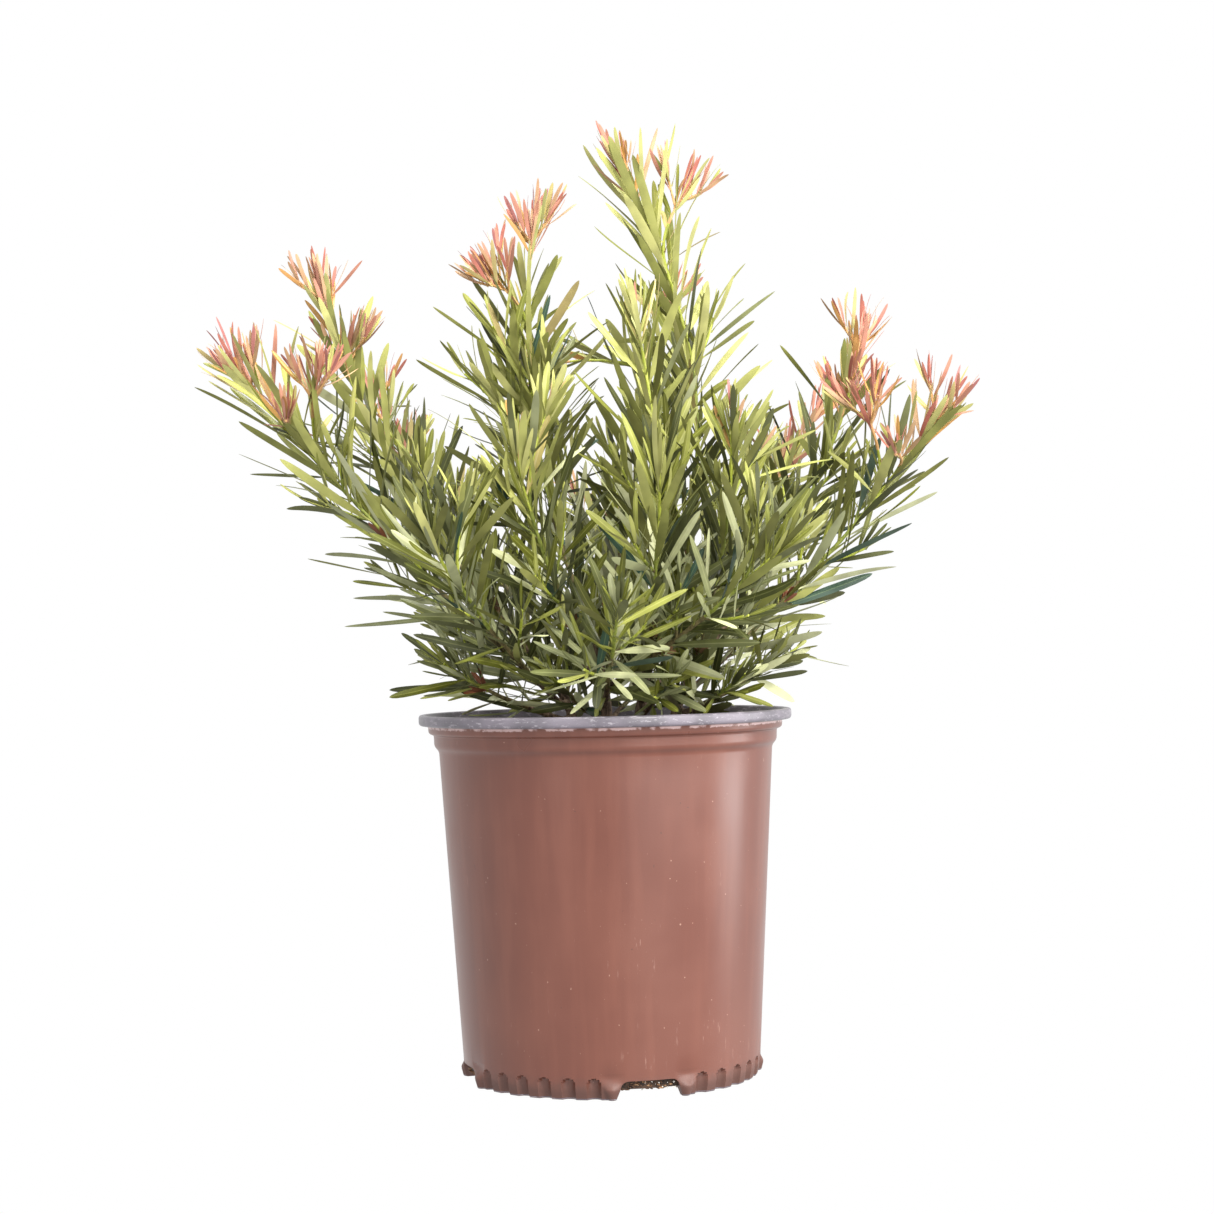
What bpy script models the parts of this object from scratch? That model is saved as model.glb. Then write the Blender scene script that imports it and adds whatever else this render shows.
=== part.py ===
"""A potted podocarpus: a bushy young shrub with narrow leaves, in its round plastic nursery pot.

Metres, +Z up. The origin is on the middle of the pot's underside, and the plant's front faces -Y.
The pot is a turned shell with drain notches and grip flutes around its foot. Five short woody stems
rise out of the potting mix. Each carries a few boughs, and each bough ends in one leafy shoot, which
is a single solid: a main twig, its side twigs, and the leaves that stand on them in a spiral.
"""
import math
import random

import bmesh
import bpy
from mathutils import Matrix, Vector
from mathutils.bvhtree import BVHTree
from mathutils.kdtree import KDTree

MM = 0.001
CLEARANCE = 0.3 * MM            # between pieces that touch on the real plant

# --- The pot ---------------------------------------------------------------------------------------
POT_SIDES = 44
POT_HEIGHT = 224.0 * MM
LIP_RADIUS = 115.4 * MM
LIP_DEPTH = 6.5 * MM            # the rolled lip, top to bottom
COLLAR_RADIUS = 109.8 * MM      # first band, under the lip
BAND_RADIUS = 106.3 * MM        # second band, a little in from the first
COLLAR_BOTTOM = 212.5 * MM
BAND_BOTTOM = 201.5 * MM
BODY_RADIUS = 103.2 * MM        # the body just under the bands
FOOT_RADIUS = 91.4 * MM         # the body where it turns in to the foot
FOOT_HEIGHT = 6.0 * MM
WALL = 1.5 * MM
FLOOR_RAISE = 4.0 * MM          # the ring channel in the underside, where the drain notches open
PAD_RADIUS = 40.0 * MM          # the flat pad that stands on the ground inside that channel
FOOT_RING = 6.5 * MM            # width of the ring that stands on the ground outside it

NOTCH_COUNT = 4
NOTCH_AZIMUTH = -75.9           # degrees, of the first notch: a little right of the front
NOTCH_WIDTH = 36.0 * MM
NOTCH_HEIGHT = 11.0 * MM
NOTCH_DEPTH = 14.0 * MM
FLUTE_ANGLES = (21.0, 30.6, 40.2, 49.8, 59.4, 69.0)   # degrees past each notch
FLUTE_RADIUS = 4.2 * MM
FLUTE_HEIGHT = 12.5 * MM
FLUTE_OUT = 1.2 * MM            # how far outside the foot's surface a flute's axis lies
TOOTH_ANGLES = (14.4, 75.6)     # degrees past each notch: a pointed tooth on either side of it
TOOTH_HEIGHT = 18.0 * MM
TOOTH_WIDTH = 17.4 * MM         # at its top, inside the wall
TOOTH_TIP = 2.2 * MM            # width of its point
TOOTH_OUT = 3.2 * MM            # how far the point stands out from the foot
TOOTH_LIFT = 0.4 * MM           # how high the point ends above the ground
TOOTH_SINK = 0.6 * MM           # how far its top edge lies inside the wall

# --- The potting mix ---------------------------------------------------------------------------------
MIX_TOP = 205.0 * MM

# --- Stems: name, foot (x, y), top (x, y, z), radius at the foot and at the top, in millimetres -------
STEMS = (
    ("left", (-18, -4), (-36, -6, 250), 3.3, 2.5),
    ("middle", (0, -19), (-5, -22, 268), 4.0, 3.0),
    ("tall", (21, 5), (36, 7, 272), 3.7, 2.8),
    ("right", (42, -5), (57, -4, 252), 3.5, 2.6),
    ("back", (2, 28), (-3, 40, 258), 3.6, 2.6),
)
ROOT_FLARE = 1.7                # how much wider a stem is where it leaves the mix
FLARE_HEIGHT = 7.0 * MM

# --- Shoots: name, stem, where on the stem (1 is its top), tip (x, y, z), bow (x, y) of the middle,
# --- the share that is bare bough, and the side crests: where they fork and their tips (x, y, z) ------
SHOOTS = (
    ("left_inner", "left", 1.00, (-176, 25, 499), (-20, 4), 0.10, ((0.74, (-152, 10, 460)),)),
    ("left_outer", "left", 0.74, (-224, -25, 444), (-9, 2), 0.11,
     ((0.60, (-170, -34, 436)), (0.74, (-188, -50, 404)))),
    ("front_left", "left", 0.52, (-100, -130, 334), (-8, -10), 0.15, ((0.60, (-76, -112, 352)),)),
    ("left_low", "left", 0.32, (-96, -48, 256), (-8, -4), 0.24, ()),
    ("centre_left", "middle", 1.00, (-37, 15, 537), (-18, 3), 0.09, ((0.68, (-70, 8, 500)),)),
    ("left_front", "middle", 0.80, (-50, -98, 388), (-6, -18), 0.12, ((0.60, (-26, -84, 410)),)),
    ("front_right", "middle", 0.54, (112, -124, 326), (4, -16), 0.22, ((0.60, (90, -110, 346)),)),
    ("front_low", "middle", 0.38, (10, -160, 290), (0, -12), 0.18, ()),
    ("low_middle", "middle", 0.24, (-34, -82, 250), (-2, -4), 0.20, ()),
    ("tall", "tall", 1.00, (12, 0, 568), (36, -2), 0.08, ((0.72, (60, 4, 550)),)),
    ("centre_front", "tall", 0.80, (22, -50, 470), (8, -24), 0.11, ()),
    ("front_middle", "tall", 0.38, (34, -120, 372), (2, -24), 0.20, ()),
    ("low_tall", "tall", 0.24, (42, -78, 248), (2, -4), 0.20, ()),
    ("back_low_right", "tall", 0.48, (96, 104, 286), (4, 10), 0.28, ()),
    ("right_inner", "right", 1.00, (168, 30, 463), (20, 4), 0.10, ((0.72, (148, 16, 422)),)),
    ("right_outer", "right", 0.74, (213, -22, 407), (9, 0), 0.11,
     ((0.60, (160, -34, 408)), (0.74, (178, -48, 376)))),
    ("right_front", "right", 0.52, (78, -86, 402), (8, -16), 0.12, ((0.62, (98, -66, 380)),)),
    ("right_low", "right", 0.38, (108, -24, 260), (6, -4), 0.24, ()),
    ("low_right", "right", 0.26, (84, -64, 246), (2, -4), 0.20, ()),
    ("back_high", "back", 1.00, (50, 80, 500), (2, 10), 0.10, ((0.66, (-42, 72, 448)),)),
    ("back_left", "back", 0.78, (-158, 128, 444), (-14, 14), 0.12, ((0.62, (-132, 134, 406)),)),
    ("back_right", "back", 0.60, (150, 138, 424), (12, 16), 0.14, ((0.62, (126, 112, 392)),)),
    ("back_middle", "back", 0.42, (6, 196, 358), (0, 14), 0.15, ((0.60, (-24, 172, 376)),)),
    ("back_low_left", "back", 0.28, (-88, 104, 284), (-6, 10), 0.24, ()),
    ("low_back", "back", 0.24, (30, 98, 252), (2, 4), 0.20, ()),
)
BOUGH_RADIUS = 2.1 * MM         # where a bough leaves its stem
SHOOT_RADIUS = 1.5 * MM         # where the bough ends and its shoot begins
TIP_RADIUS = 0.8 * MM
SIDE_RADIUS = 1.1 * MM
ELBOW = 3.0 * MM                # how far a bough stands out from its stem before it turns up

STEM_SIDES, BOUGH_SIDES, TWIG_SIDES = 8, 6, 3
STEM_SPANS, PATH_SPANS, BOUGH_SPANS, TWIG_SPANS, SIDE_SPANS = 5, 60, 3, 9, 3

# --- Leaves: one to each step of a spiral up the twig, and a tuft, the crest, at its tip ----------------
SPIRAL = math.radians(137.5)    # from one leaf to the next, round the twig
LEAF_STEP = 9.4 * MM            # from one leaf to the next, up the twig
LEAFY = (0.04, 0.88)            # the share of a twig that bears leaves below its crest
LEAF_LENGTH = 57.0 * MM
LEAF_WIDTH = 10.0 * MM
LEAF_THICK = 0.9 * MM
WIDEST = 0.56                   # where along a leaf it is widest
ROOT_WIDTH = 0.7                # of a leaf's root, in twig radii
ROOT_THICK = 0.6                # of a leaf's root, in its width
LEAN = (62, 32)                 # degrees off the twig, at its foot and at its crest
LEAN_SPREAD = 6
LENGTH_SPREAD = 0.08
DROOP = (0.16, 0.08)            # how far a leaf arches back, in its length
CREST_STEP = 1.7 * MM
CREST_LEAVES = 6
SIDE_CREST_LEAVES = 5
CREST_LEAN = (40, 12)           # degrees, of the crest's outermost and innermost leaf
CREST_LENGTH = (0.72, 0.58)     # of the same two leaves, in leaf lengths
CREST_DROOP = 0.05
SHORTER = (1.0, 0.8, 0.62, 0.5)  # the lengths that a leaf is tried at where room is short

# --- Short side twigs that the seed places low on each shoot --------------------------------------------
LATERAL_LENGTH = 34.0 * MM
LATERAL_ZONE = (0.25, 0.6)
LATERAL_ROOM = 20.0 * MM        # how far from any other shoot a lateral's tip stays

# --- Room that the pieces keep --------------------------------------------------------------------------
MARK_STEP = 6.0 * MM            # spacing of the marks that share the crown out between the shoots
OWN_MARGIN = 2.6 * MM           # how much nearer its own shoot than any other a leaf keeps
LIMB_MARGIN = 1.2 * MM
POT_MARGIN = 1.5 * MM
THINNING = (0.62, 0.7, 0.8, 1)  # shares of the faces to keep, as the joints' slivers are merged


# --- Materials and mesh helpers ------------------------------------------------------------------------
def material(name, colour, roughness):
    """A Principled BSDF with one colour and one roughness."""
    made = bpy.data.materials.new(name)
    made.use_nodes = True
    shader = made.node_tree.nodes["Principled BSDF"]
    shader.inputs["Base Color"].default_value = (*colour, 1.0)
    shader.inputs["Roughness"].default_value = roughness
    return made


def add_object(name, mesh, collection, finish=None):
    """Put a mesh into the scene as one named object."""
    made = bpy.data.objects.new(name, mesh)
    collection.objects.link(made)
    if finish:
        mesh.materials.append(finish)
    return made


def loft(sections):
    """A closed body over sections of equal size; the last one may be a single point."""
    shape = bmesh.new()
    rings = [[shape.verts.new(point) for point in section] for section in sections]
    shape.faces.new(reversed(rings[0]))
    for low, high in zip(rings, rings[1:]):
        count = len(low)
        for i in range(count):
            j = (i + 1) % count
            if len(high) == 1:
                shape.faces.new((low[i], low[j], high[0]))
            else:
                shape.faces.new((low[i], low[j], high[j], high[i]))
    if len(rings[-1]) > 2:
        shape.faces.new(rings[-1])
    bmesh.ops.triangulate(shape, faces=shape.faces[:])
    mesh = bpy.data.meshes.new("loft")
    shape.to_mesh(mesh)
    shape.free()
    return mesh


def primitive(name, make, **sizes):
    """A mesh from one of bmesh's own primitives."""
    shape = bmesh.new()
    make(shape, **sizes)
    mesh = bpy.data.meshes.new(name)
    shape.to_mesh(mesh)
    shape.free()
    return mesh


def frames(points, first=None):
    """A tangent and two sides at each point of a path, turned as little as possible between them."""
    side = None
    for i, point in enumerate(points):
        tangent = (points[min(i + 1, len(points) - 1)] - points[max(i - 1, 0)]).normalized()
        if i == 0 and first:
            tangent = first.normalized()
        side = tangent.orthogonal() if side is None else side
        side = (side - tangent * side.dot(tangent)).normalized()
        yield point, tangent, side, tangent.cross(side)


def limb(points, radii, sides, first=None):
    """A tapering round limb along a path; first is the direction that its cut end faces."""
    turns = [math.tau * i / sides for i in range(sides)]
    sections = []
    for (point, _, side, other), radius in zip(frames(points, first), radii):
        sections.append([point + (side * math.cos(a) + other * math.sin(a)) * radius for a in turns])
    return loft(sections)


def curve(start, middle, end, spans):
    """Points of a quadratic curve."""
    steps = [i / spans for i in range(spans + 1)]
    return [start * (1 - t) ** 2 + middle * (2 * t * (1 - t)) + end * t ** 2 for t in steps]


def length_of(points):
    """The length of a path."""
    return sum((b - a).length for a, b in zip(points, points[1:]))


def along(points, share):
    """The point, tangent and sides at a share of a path's length."""
    left = share * length_of(points)
    stations = list(frames(points))
    for (a, *_), (b, tangent, side, other) in zip(stations, stations[1:]):
        step = (b - a).length
        if left <= step + 1e-9:
            return a.lerp(b, left / step), (b - a).normalized(), side, other
        left -= step
    return stations[-1]


# --- Pot and mix ---------------------------------------------------------------------------------------
def turned(name, profile, collection, finish):
    """Turn a closed outline of (radius, height) points about Z with a Screw modifier."""
    shape = bmesh.new()
    corners = [shape.verts.new((radius, 0, height)) for radius, height in profile]
    for a, b in zip(corners, corners[1:] + corners[:1]):
        if not (a.co.x == 0 and b.co.x == 0):
            shape.edges.new((a, b))
    mesh = bpy.data.meshes.new(name)
    shape.to_mesh(mesh)
    shape.free()
    made = add_object(name, mesh, collection, finish)
    screw = made.modifiers.new("turn", "SCREW")
    screw.steps = screw.render_steps = POT_SIDES
    screw.use_merge_vertices = True
    screw.merge_threshold = 1e-6
    return made


def body_radius(height):
    """The outer radius of the pot's straight taper."""
    share = (height - FOOT_HEIGHT) / (BAND_BOTTOM - FOOT_HEIGHT)
    return FOOT_RADIUS + (BODY_RADIUS - FOOT_RADIUS) * share


def cutter(name, mesh, collection, target, operation="DIFFERENCE"):
    """An unseen object, and the Boolean that cuts it out of the target or adds it."""
    made = add_object(name, mesh, collection)
    made.hide_render = True
    made.display_type = "WIRE"
    boolean = target.modifiers.new(name, "BOOLEAN")
    boolean.operation = operation
    boolean.object = made
    return made


def tooth():
    """A wedge with its back in the wall, whose face leans out from the wall down to a point."""
    points = []
    for height, half, back, front in (
        (TOOTH_LIFT, TOOTH_TIP / 2, -2.0 * WALL, TOOTH_OUT),
        (TOOTH_HEIGHT, TOOTH_WIDTH / 2, -WALL, -TOOTH_SINK),
    ):
        points += [(back, -half, height), (front, -half, height), (front, half, height), (back, half, height)]
    mesh = bpy.data.meshes.new("tooth")
    mesh.from_pydata(points, [], [(0, 3, 2, 1), (4, 5, 6, 7), (0, 1, 5, 4), (1, 2, 6, 5), (2, 3, 7, 6), (3, 0, 4, 7)])
    return mesh


def make_pot(collection, cutters, finish):
    """The turned shell: lip, two bands, tapering body, teeth, foot ring, channel and centre pad."""
    lip_bottom = POT_HEIGHT - LIP_DEPTH
    ring_inner = FOOT_RADIUS - FOOT_RING
    outside = [
        (LIP_RADIUS - WALL, POT_HEIGHT),
        (LIP_RADIUS, POT_HEIGHT - WALL),
        (LIP_RADIUS, lip_bottom + WALL),
        (LIP_RADIUS - WALL, lip_bottom),
        (COLLAR_RADIUS, lip_bottom - 0.4 * MM),
        (COLLAR_RADIUS - 0.4 * MM, COLLAR_BOTTOM),
        (BAND_RADIUS, COLLAR_BOTTOM - 1.0 * MM),
        (BAND_RADIUS - 0.3 * MM, BAND_BOTTOM + 3.0 * MM),
        (BODY_RADIUS, BAND_BOTTOM),
        (FOOT_RADIUS, FOOT_HEIGHT),
        (FOOT_RADIUS - 1.5 * MM, 0),
    ]
    underside = [
        (ring_inner, 0),
        (ring_inner - 1.0 * MM, FLOOR_RAISE),
        (PAD_RADIUS + FLOOR_RAISE, FLOOR_RAISE),
        (PAD_RADIUS, 0),
        (0, 0),
    ]
    inside = [
        (0, WALL),
        (PAD_RADIUS - 1.0 * MM, WALL),
        (PAD_RADIUS + FLOOR_RAISE - 1.0 * MM, FLOOR_RAISE + WALL),
        (body_radius(FLOOR_RAISE) - 2.0 * WALL, FLOOR_RAISE + WALL),
        (BODY_RADIUS - WALL, BAND_BOTTOM),
        (COLLAR_RADIUS - 2.0 * WALL, COLLAR_BOTTOM),
        (LIP_RADIUS - 3.0 * WALL, POT_HEIGHT),
    ]
    pot = turned("pot", outside + underside + inside, collection, finish)
    notch_angles = [math.radians(NOTCH_AZIMUTH + i * 360 / NOTCH_COUNT) for i in range(NOTCH_COUNT)]
    for quarter, notch_angle in enumerate(notch_angles):
        for number, past in enumerate(TOOTH_ANGLES):
            angle = notch_angle + math.radians(past)
            added = cutter(f"tooth_{quarter}_{number}", tooth(), cutters, pot, "UNION")
            added.location = on_circle(FOOT_RADIUS, angle)
            added.rotation_euler.z = angle
    for quarter, notch_angle in enumerate(notch_angles):
        mesh = primitive("notch", bmesh.ops.create_cube, size=1.0)
        mesh.transform(Matrix.Diagonal((NOTCH_DEPTH * 2, NOTCH_WIDTH, NOTCH_HEIGHT * 2, 1.0)))
        notch = cutter(f"notch_cutter_{quarter}", mesh, cutters, pot)
        notch.location = on_circle(FOOT_RADIUS, notch_angle)
        notch.rotation_euler.z = notch_angle
        for number, past in enumerate(FLUTE_ANGLES):
            mesh = primitive("flute", bmesh.ops.create_cone, cap_ends=True, segments=6,
                             radius1=FLUTE_RADIUS, radius2=FLUTE_RADIUS / 2, depth=FLUTE_HEIGHT * 2)
            flute = cutter(f"flute_cutter_{quarter}_{number}", mesh, cutters, pot)
            flute.location = on_circle(FOOT_RADIUS + FLUTE_OUT, notch_angle + math.radians(past))
    return pot


def on_circle(radius, angle):
    return Vector((math.cos(angle) * radius, math.sin(angle) * radius, 0))


def make_mix(collection, finish):
    """The mix fills the shell, a hair clear of it, up to a little under the rim."""
    gap = CLEARANCE
    base = FLOOR_RAISE + WALL + gap
    low_radius = body_radius(FLOOR_RAISE) - 2.0 * WALL
    profile = [
        (0, MIX_TOP),
        (BODY_RADIUS - WALL - gap, MIX_TOP),
        (BODY_RADIUS - WALL - gap, BAND_BOTTOM),
        (low_radius - gap, base),
        (PAD_RADIUS + FLOOR_RAISE - 1.5 * MM, base),
        (PAD_RADIUS - 1.5 * MM, WALL + gap),
        (0, WALL + gap),
    ]
    return turned("potting_mix", profile, collection, finish)


# --- Stems, boughs and the axes of the shoots -----------------------------------------------------------
def stem_axes():
    """Each stem's path, and its radius at the points of that path."""
    axes = {}
    for name, foot, top, foot_radius, top_radius in STEMS:
        start = Vector((foot[0] * MM, foot[1] * MM, MIX_TOP + CLEARANCE))
        end = Vector(top) * MM
        middle = Vector((start.x, start.y, (start.z + end.z) / 2))
        points = curve(start, middle, end, STEM_SPANS)
        radii = []
        for i, point in enumerate(points):
            taper = i / (len(points) - 1)
            flare = max(0.0, 1.0 - (point.z - start.z) / FLARE_HEIGHT) * (ROOT_FLARE - 1.0)
            radii.append((foot_radius + (top_radius - foot_radius) * taper) * (1.0 + flare) * MM)
        axes[name] = (points, radii)
    return axes


def shoot_axes(stems):
    """For each shoot: its bough's path and outward cut, its main twig, and its side twigs."""
    shoots = {}
    for name, stem, height, tip, bow, bare, crests in SHOOTS:
        points, radii = stems[stem]
        tip = Vector(tip) * MM
        if height >= 1.0:
            outward = (points[-1] - points[-2]).normalized()
            start = points[-1] + outward * CLEARANCE
            elbow = start + outward * ELBOW
        else:
            centre, tangent, _, _ = along(points, height)
            outward = Vector((tip.x - centre.x, tip.y - centre.y, 0))
            outward = (outward - tangent * outward.dot(tangent)).normalized()
            start = centre + outward * (at_share(radii, height) + CLEARANCE)
            elbow = start + outward * ELBOW
        middle = (elbow + tip) / 2 + Vector((bow[0], bow[1], 0)) * (2 * MM)
        bough, main = split(curve(elbow, middle, tip, PATH_SPANS), bare)
        sides = [side_twig(main, share, Vector(end) * MM) for share, end in crests]
        shoots[name] = {"bough": [start] + bough, "outward": outward, "main": main, "sides": sides}
    return shoots


def at_share(values, share):
    """The value at a share of a list's length, between its neighbours."""
    place = share * (len(values) - 1)
    low = min(int(place), len(values) - 2)
    return values[low] + (values[low + 1] - values[low]) * (place - low)


def split(path, bare):
    """The bare bough, and the leafy twig that goes on from it a hair clear."""
    fork = round(bare * (len(path) - 1))
    gap = (path[fork + 1] - path[fork]).normalized() * CLEARANCE
    bough = [path[round(fork * i / BOUGH_SPANS)] for i in range(BOUGH_SPANS + 1)]
    rest = len(path) - 1 - fork
    main = [path[fork + round(rest * i / TWIG_SPANS)] for i in range(TWIG_SPANS + 1)]
    main[0] = main[0] + gap
    return bough, main


def side_twig(main, share, end):
    """A side twig that leaves the main one at a share of its length and turns up to its own tip."""
    root, tangent, _, _ = along(main, share)
    middle = root + tangent * ((end - root).length * 0.45)
    return curve(root, middle, end, SIDE_SPANS)


def marks(points):
    """Evenly spaced points along a path."""
    count = max(2, round(length_of(points) / MARK_STEP))
    return [along(points, i / count)[0] for i in range(count + 1)]


def add_laterals(shoots):
    """A short side twig on each shoot, placed by the seed, where no other shoot is near."""
    for number, (name, shoot) in enumerate(shoots.items()):
        rng = random.Random(100 + number)
        others = [p for other, s in shoots.items() if other != name for p in marks(s["main"])]
        root, tangent, side, cross = along(shoot["main"], rng.uniform(*LATERAL_ZONE))
        turn = rng.uniform(0, math.tau)
        out = side * math.cos(turn) + cross * math.sin(turn)
        reach = LATERAL_LENGTH * rng.uniform(0.8, 1.2)
        end = root + (tangent * 0.75 + out * 0.66) * reach
        near = min((end - p).length for p in others)
        if near > LATERAL_ROOM and clear_of_pot([end], LATERAL_ROOM / 2):
            middle = root + (tangent + out) * reach / 4
            shoot["sides"].append(curve(root, middle, end, SIDE_SPANS))


# --- Leaves ---------------------------------------------------------------------------------------------
def between(pair, share):
    return pair[0] + (pair[1] - pair[0]) * share


def leaf_plan(points, crest, rng):
    """Each leaf's place on a twig: its share of the twig, root, direction, upper face and sizes."""
    total = length_of(points)
    count = max(1, int(total * (LEAFY[1] - LEAFY[0]) / LEAF_STEP))
    turn = rng.uniform(0, math.tau)
    for i in range(count + crest):
        if i < count:
            share = between(LEAFY, (i + 0.5) / count)
            lean = between(LEAN, share) + rng.uniform(-LEAN_SPREAD, LEAN_SPREAD)
            size = 0.88 + 0.14 * math.sin(math.pi * share) + rng.uniform(-LENGTH_SPREAD, LENGTH_SPREAD)
            droop = between(DROOP, share)
        else:
            rank = (i - count) / (crest - 1)
            share = 1.0 - CREST_STEP * (crest - i + count) / total
            lean = between(CREST_LEAN, rank) + rng.uniform(-LEAN_SPREAD, LEAN_SPREAD)
            size = between(CREST_LENGTH, rank)
            droop = CREST_DROOP
        root, tangent, side, cross = along(points, share)
        turn += SPIRAL
        out = side * math.cos(turn) + cross * math.sin(turn)
        lean = math.radians(lean)
        direction = tangent * math.cos(lean) + out * math.sin(lean)
        face = tangent * math.sin(lean) - out * math.cos(lean)
        yield share, root, direction, face, LEAF_LENGTH * size, droop


def leaf_sections(root, root_width, direction, face, length, droop):
    """A three-cornered root, the same at the widest place, and a point; the leaf arches back."""
    side = direction.cross(face)
    sections = []
    stations = ((0.0, root_width, root_width * ROOT_THICK), (WIDEST, LEAF_WIDTH, LEAF_THICK))
    for share, width, thick in stations:
        centre = root + direction * (length * share) - face * (length * droop * share ** 2)
        edge = side * (width / 2)
        sections.append([centre - edge, centre - face * thick, centre + edge])
    sections.append([root + direction * length - face * (length * droop)])
    return sections


def samples(sections):
    """Points down the middle and both edges of a leaf, to test its room with."""
    first, wide, (tip,) = sections
    found = [tip]
    for share in (0.35, 0.7, 1.0):
        found += [a.lerp(b, share) for a, b in zip(first, wide)]
    for share in (0.33, 0.66):
        found += [corner.lerp(tip, share) for corner in wide]
    return found


def clear_of_pot(points, margin):
    """Inside the pot they stay over the mix, and outside it they pass over or beyond the lip."""
    for point in points:
        radius = math.hypot(point.x, point.y)
        if radius < BODY_RADIUS - WALL - margin:
            if point.z < MIX_TOP + margin:
                return False
        elif radius < LIP_RADIUS + margin and point.z < POT_HEIGHT + margin:
            return False
    return True


def clear_of_limbs(points, limbs):
    """Limbs are given as marks along them, each a point and a radius."""
    for point in points:
        for centre, radius in limbs:
            if (point - centre).length < radius + LIMB_MARGIN:
                return False
    return True


def tree_of_points(points):
    tree = KDTree(len(points))
    for i, point in enumerate(points):
        tree.insert(point, i)
    tree.balance()
    return tree


def keeps_to_own(points, own, others):
    """Every point is nearer the shoot's own marks than those of any other shoot."""
    for point in points:
        if own.find(point)[2] + OWN_MARGIN > others.find(point)[2]:
            return False
    return True


def join_all(base, parts):
    """One Boolean union over a collection, applied; the parts are then removed."""
    boolean = base.modifiers.new("join", "BOOLEAN")
    boolean.operation = "UNION"
    boolean.operand_type = "COLLECTION"
    boolean.collection = parts
    thin = base.modifiers.new("thin", "DECIMATE")
    for thin.ratio in THINNING:
        graph = bpy.context.evaluated_depsgraph_get()
        joined = bpy.data.meshes.new_from_object(base.evaluated_get(graph))
        keep_outer_shell(joined)
        if is_closed(joined):
            break
    base.modifiers.clear()
    base.data = joined
    for part in list(parts.objects):
        bpy.data.objects.remove(part)
    bpy.data.collections.remove(parts)


def is_closed(mesh):
    """Every edge of the triangulated mesh lies between just two faces."""
    shape = bmesh.new()
    shape.from_mesh(mesh)
    bmesh.ops.triangulate(shape, faces=shape.faces[:])
    closed = all(len(edge.link_faces) == 2 for edge in shape.edges)
    shape.free()
    return closed


def keep_outer_shell(mesh):
    """Drop loose scraps and fill sealed hollows: only the largest shell stays."""
    shape = bmesh.new()
    shape.from_mesh(mesh)
    left = set(shape.verts)
    shells = []
    while left:
        stack = [left.pop()]
        shell = set(stack)
        while stack:
            for edge in stack.pop().link_edges:
                for vert in edge.verts:
                    if vert in left:
                        left.remove(vert)
                        shell.add(vert)
                        stack.append(vert)
        shells.append(shell)
    shells.sort(key=len)
    for shell in shells[:-1]:
        bmesh.ops.delete(shape, geom=list(shell), context="VERTS")
    shape.to_mesh(mesh)
    shape.free()


def tapered(points, thick, thin):
    """A radius for each point, from thick to thin."""
    last = len(points) - 1
    return [between((thick, thin), i / last) for i in range(last + 1)]


def tree_of_mesh(mesh):
    """A tree for testing whether two meshes cross."""
    return BVHTree.FromPolygons([v.co for v in mesh.vertices], [p.vertices[:] for p in mesh.polygons])


def make_shoot(name, number, shoot, own, others, limbs, collection, finish):
    """One leafy shoot: its main twig, side twigs and leaves, joined into one solid."""
    rng = random.Random(number)
    twigs = [(shoot["main"], tapered(shoot["main"], SHOOT_RADIUS, TIP_RADIUS), CREST_LEAVES)]
    for side in shoot["sides"]:
        twigs.append((side, tapered(side, SIDE_RADIUS, TIP_RADIUS), SIDE_CREST_LEAVES))
    meshes = [limb(points, radii, TWIG_SIDES) for points, radii, _ in twigs]
    woody = [tree_of_mesh(mesh) for mesh in meshes]
    base = add_object(f"shoot_{name}", meshes[0], collection, finish)
    parts = bpy.data.collections.new(f"parts_{name}")
    collection.children.link(parts)
    for i, mesh in enumerate(meshes[1:]):
        add_object(f"side_{i}", mesh, parts)
    placed = []
    for i, (points, radii, crest) in enumerate(twigs):
        strangers = woody[:i] + woody[i + 1:]
        for share, root, direction, face, length, droop in leaf_plan(points, crest, rng):
            width = ROOT_WIDTH * at_share(radii, share)
            for shorter in SHORTER:
                sections = leaf_sections(root, width, direction, face, length * shorter, droop)
                spots = samples(sections)
                if not (clear_of_pot(spots, POT_MARGIN) and keeps_to_own(spots, own, others)
                        and clear_of_limbs(spots, limbs)):
                    continue
                blade = loft(sections)
                tree = tree_of_mesh(blade)
                if not any(tree.overlap(other) for other in placed + strangers):
                    add_object(f"leaf_{len(placed)}", blade, parts)
                    placed.append(tree)
                    break
    join_all(base, parts)
    return len(placed)


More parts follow.
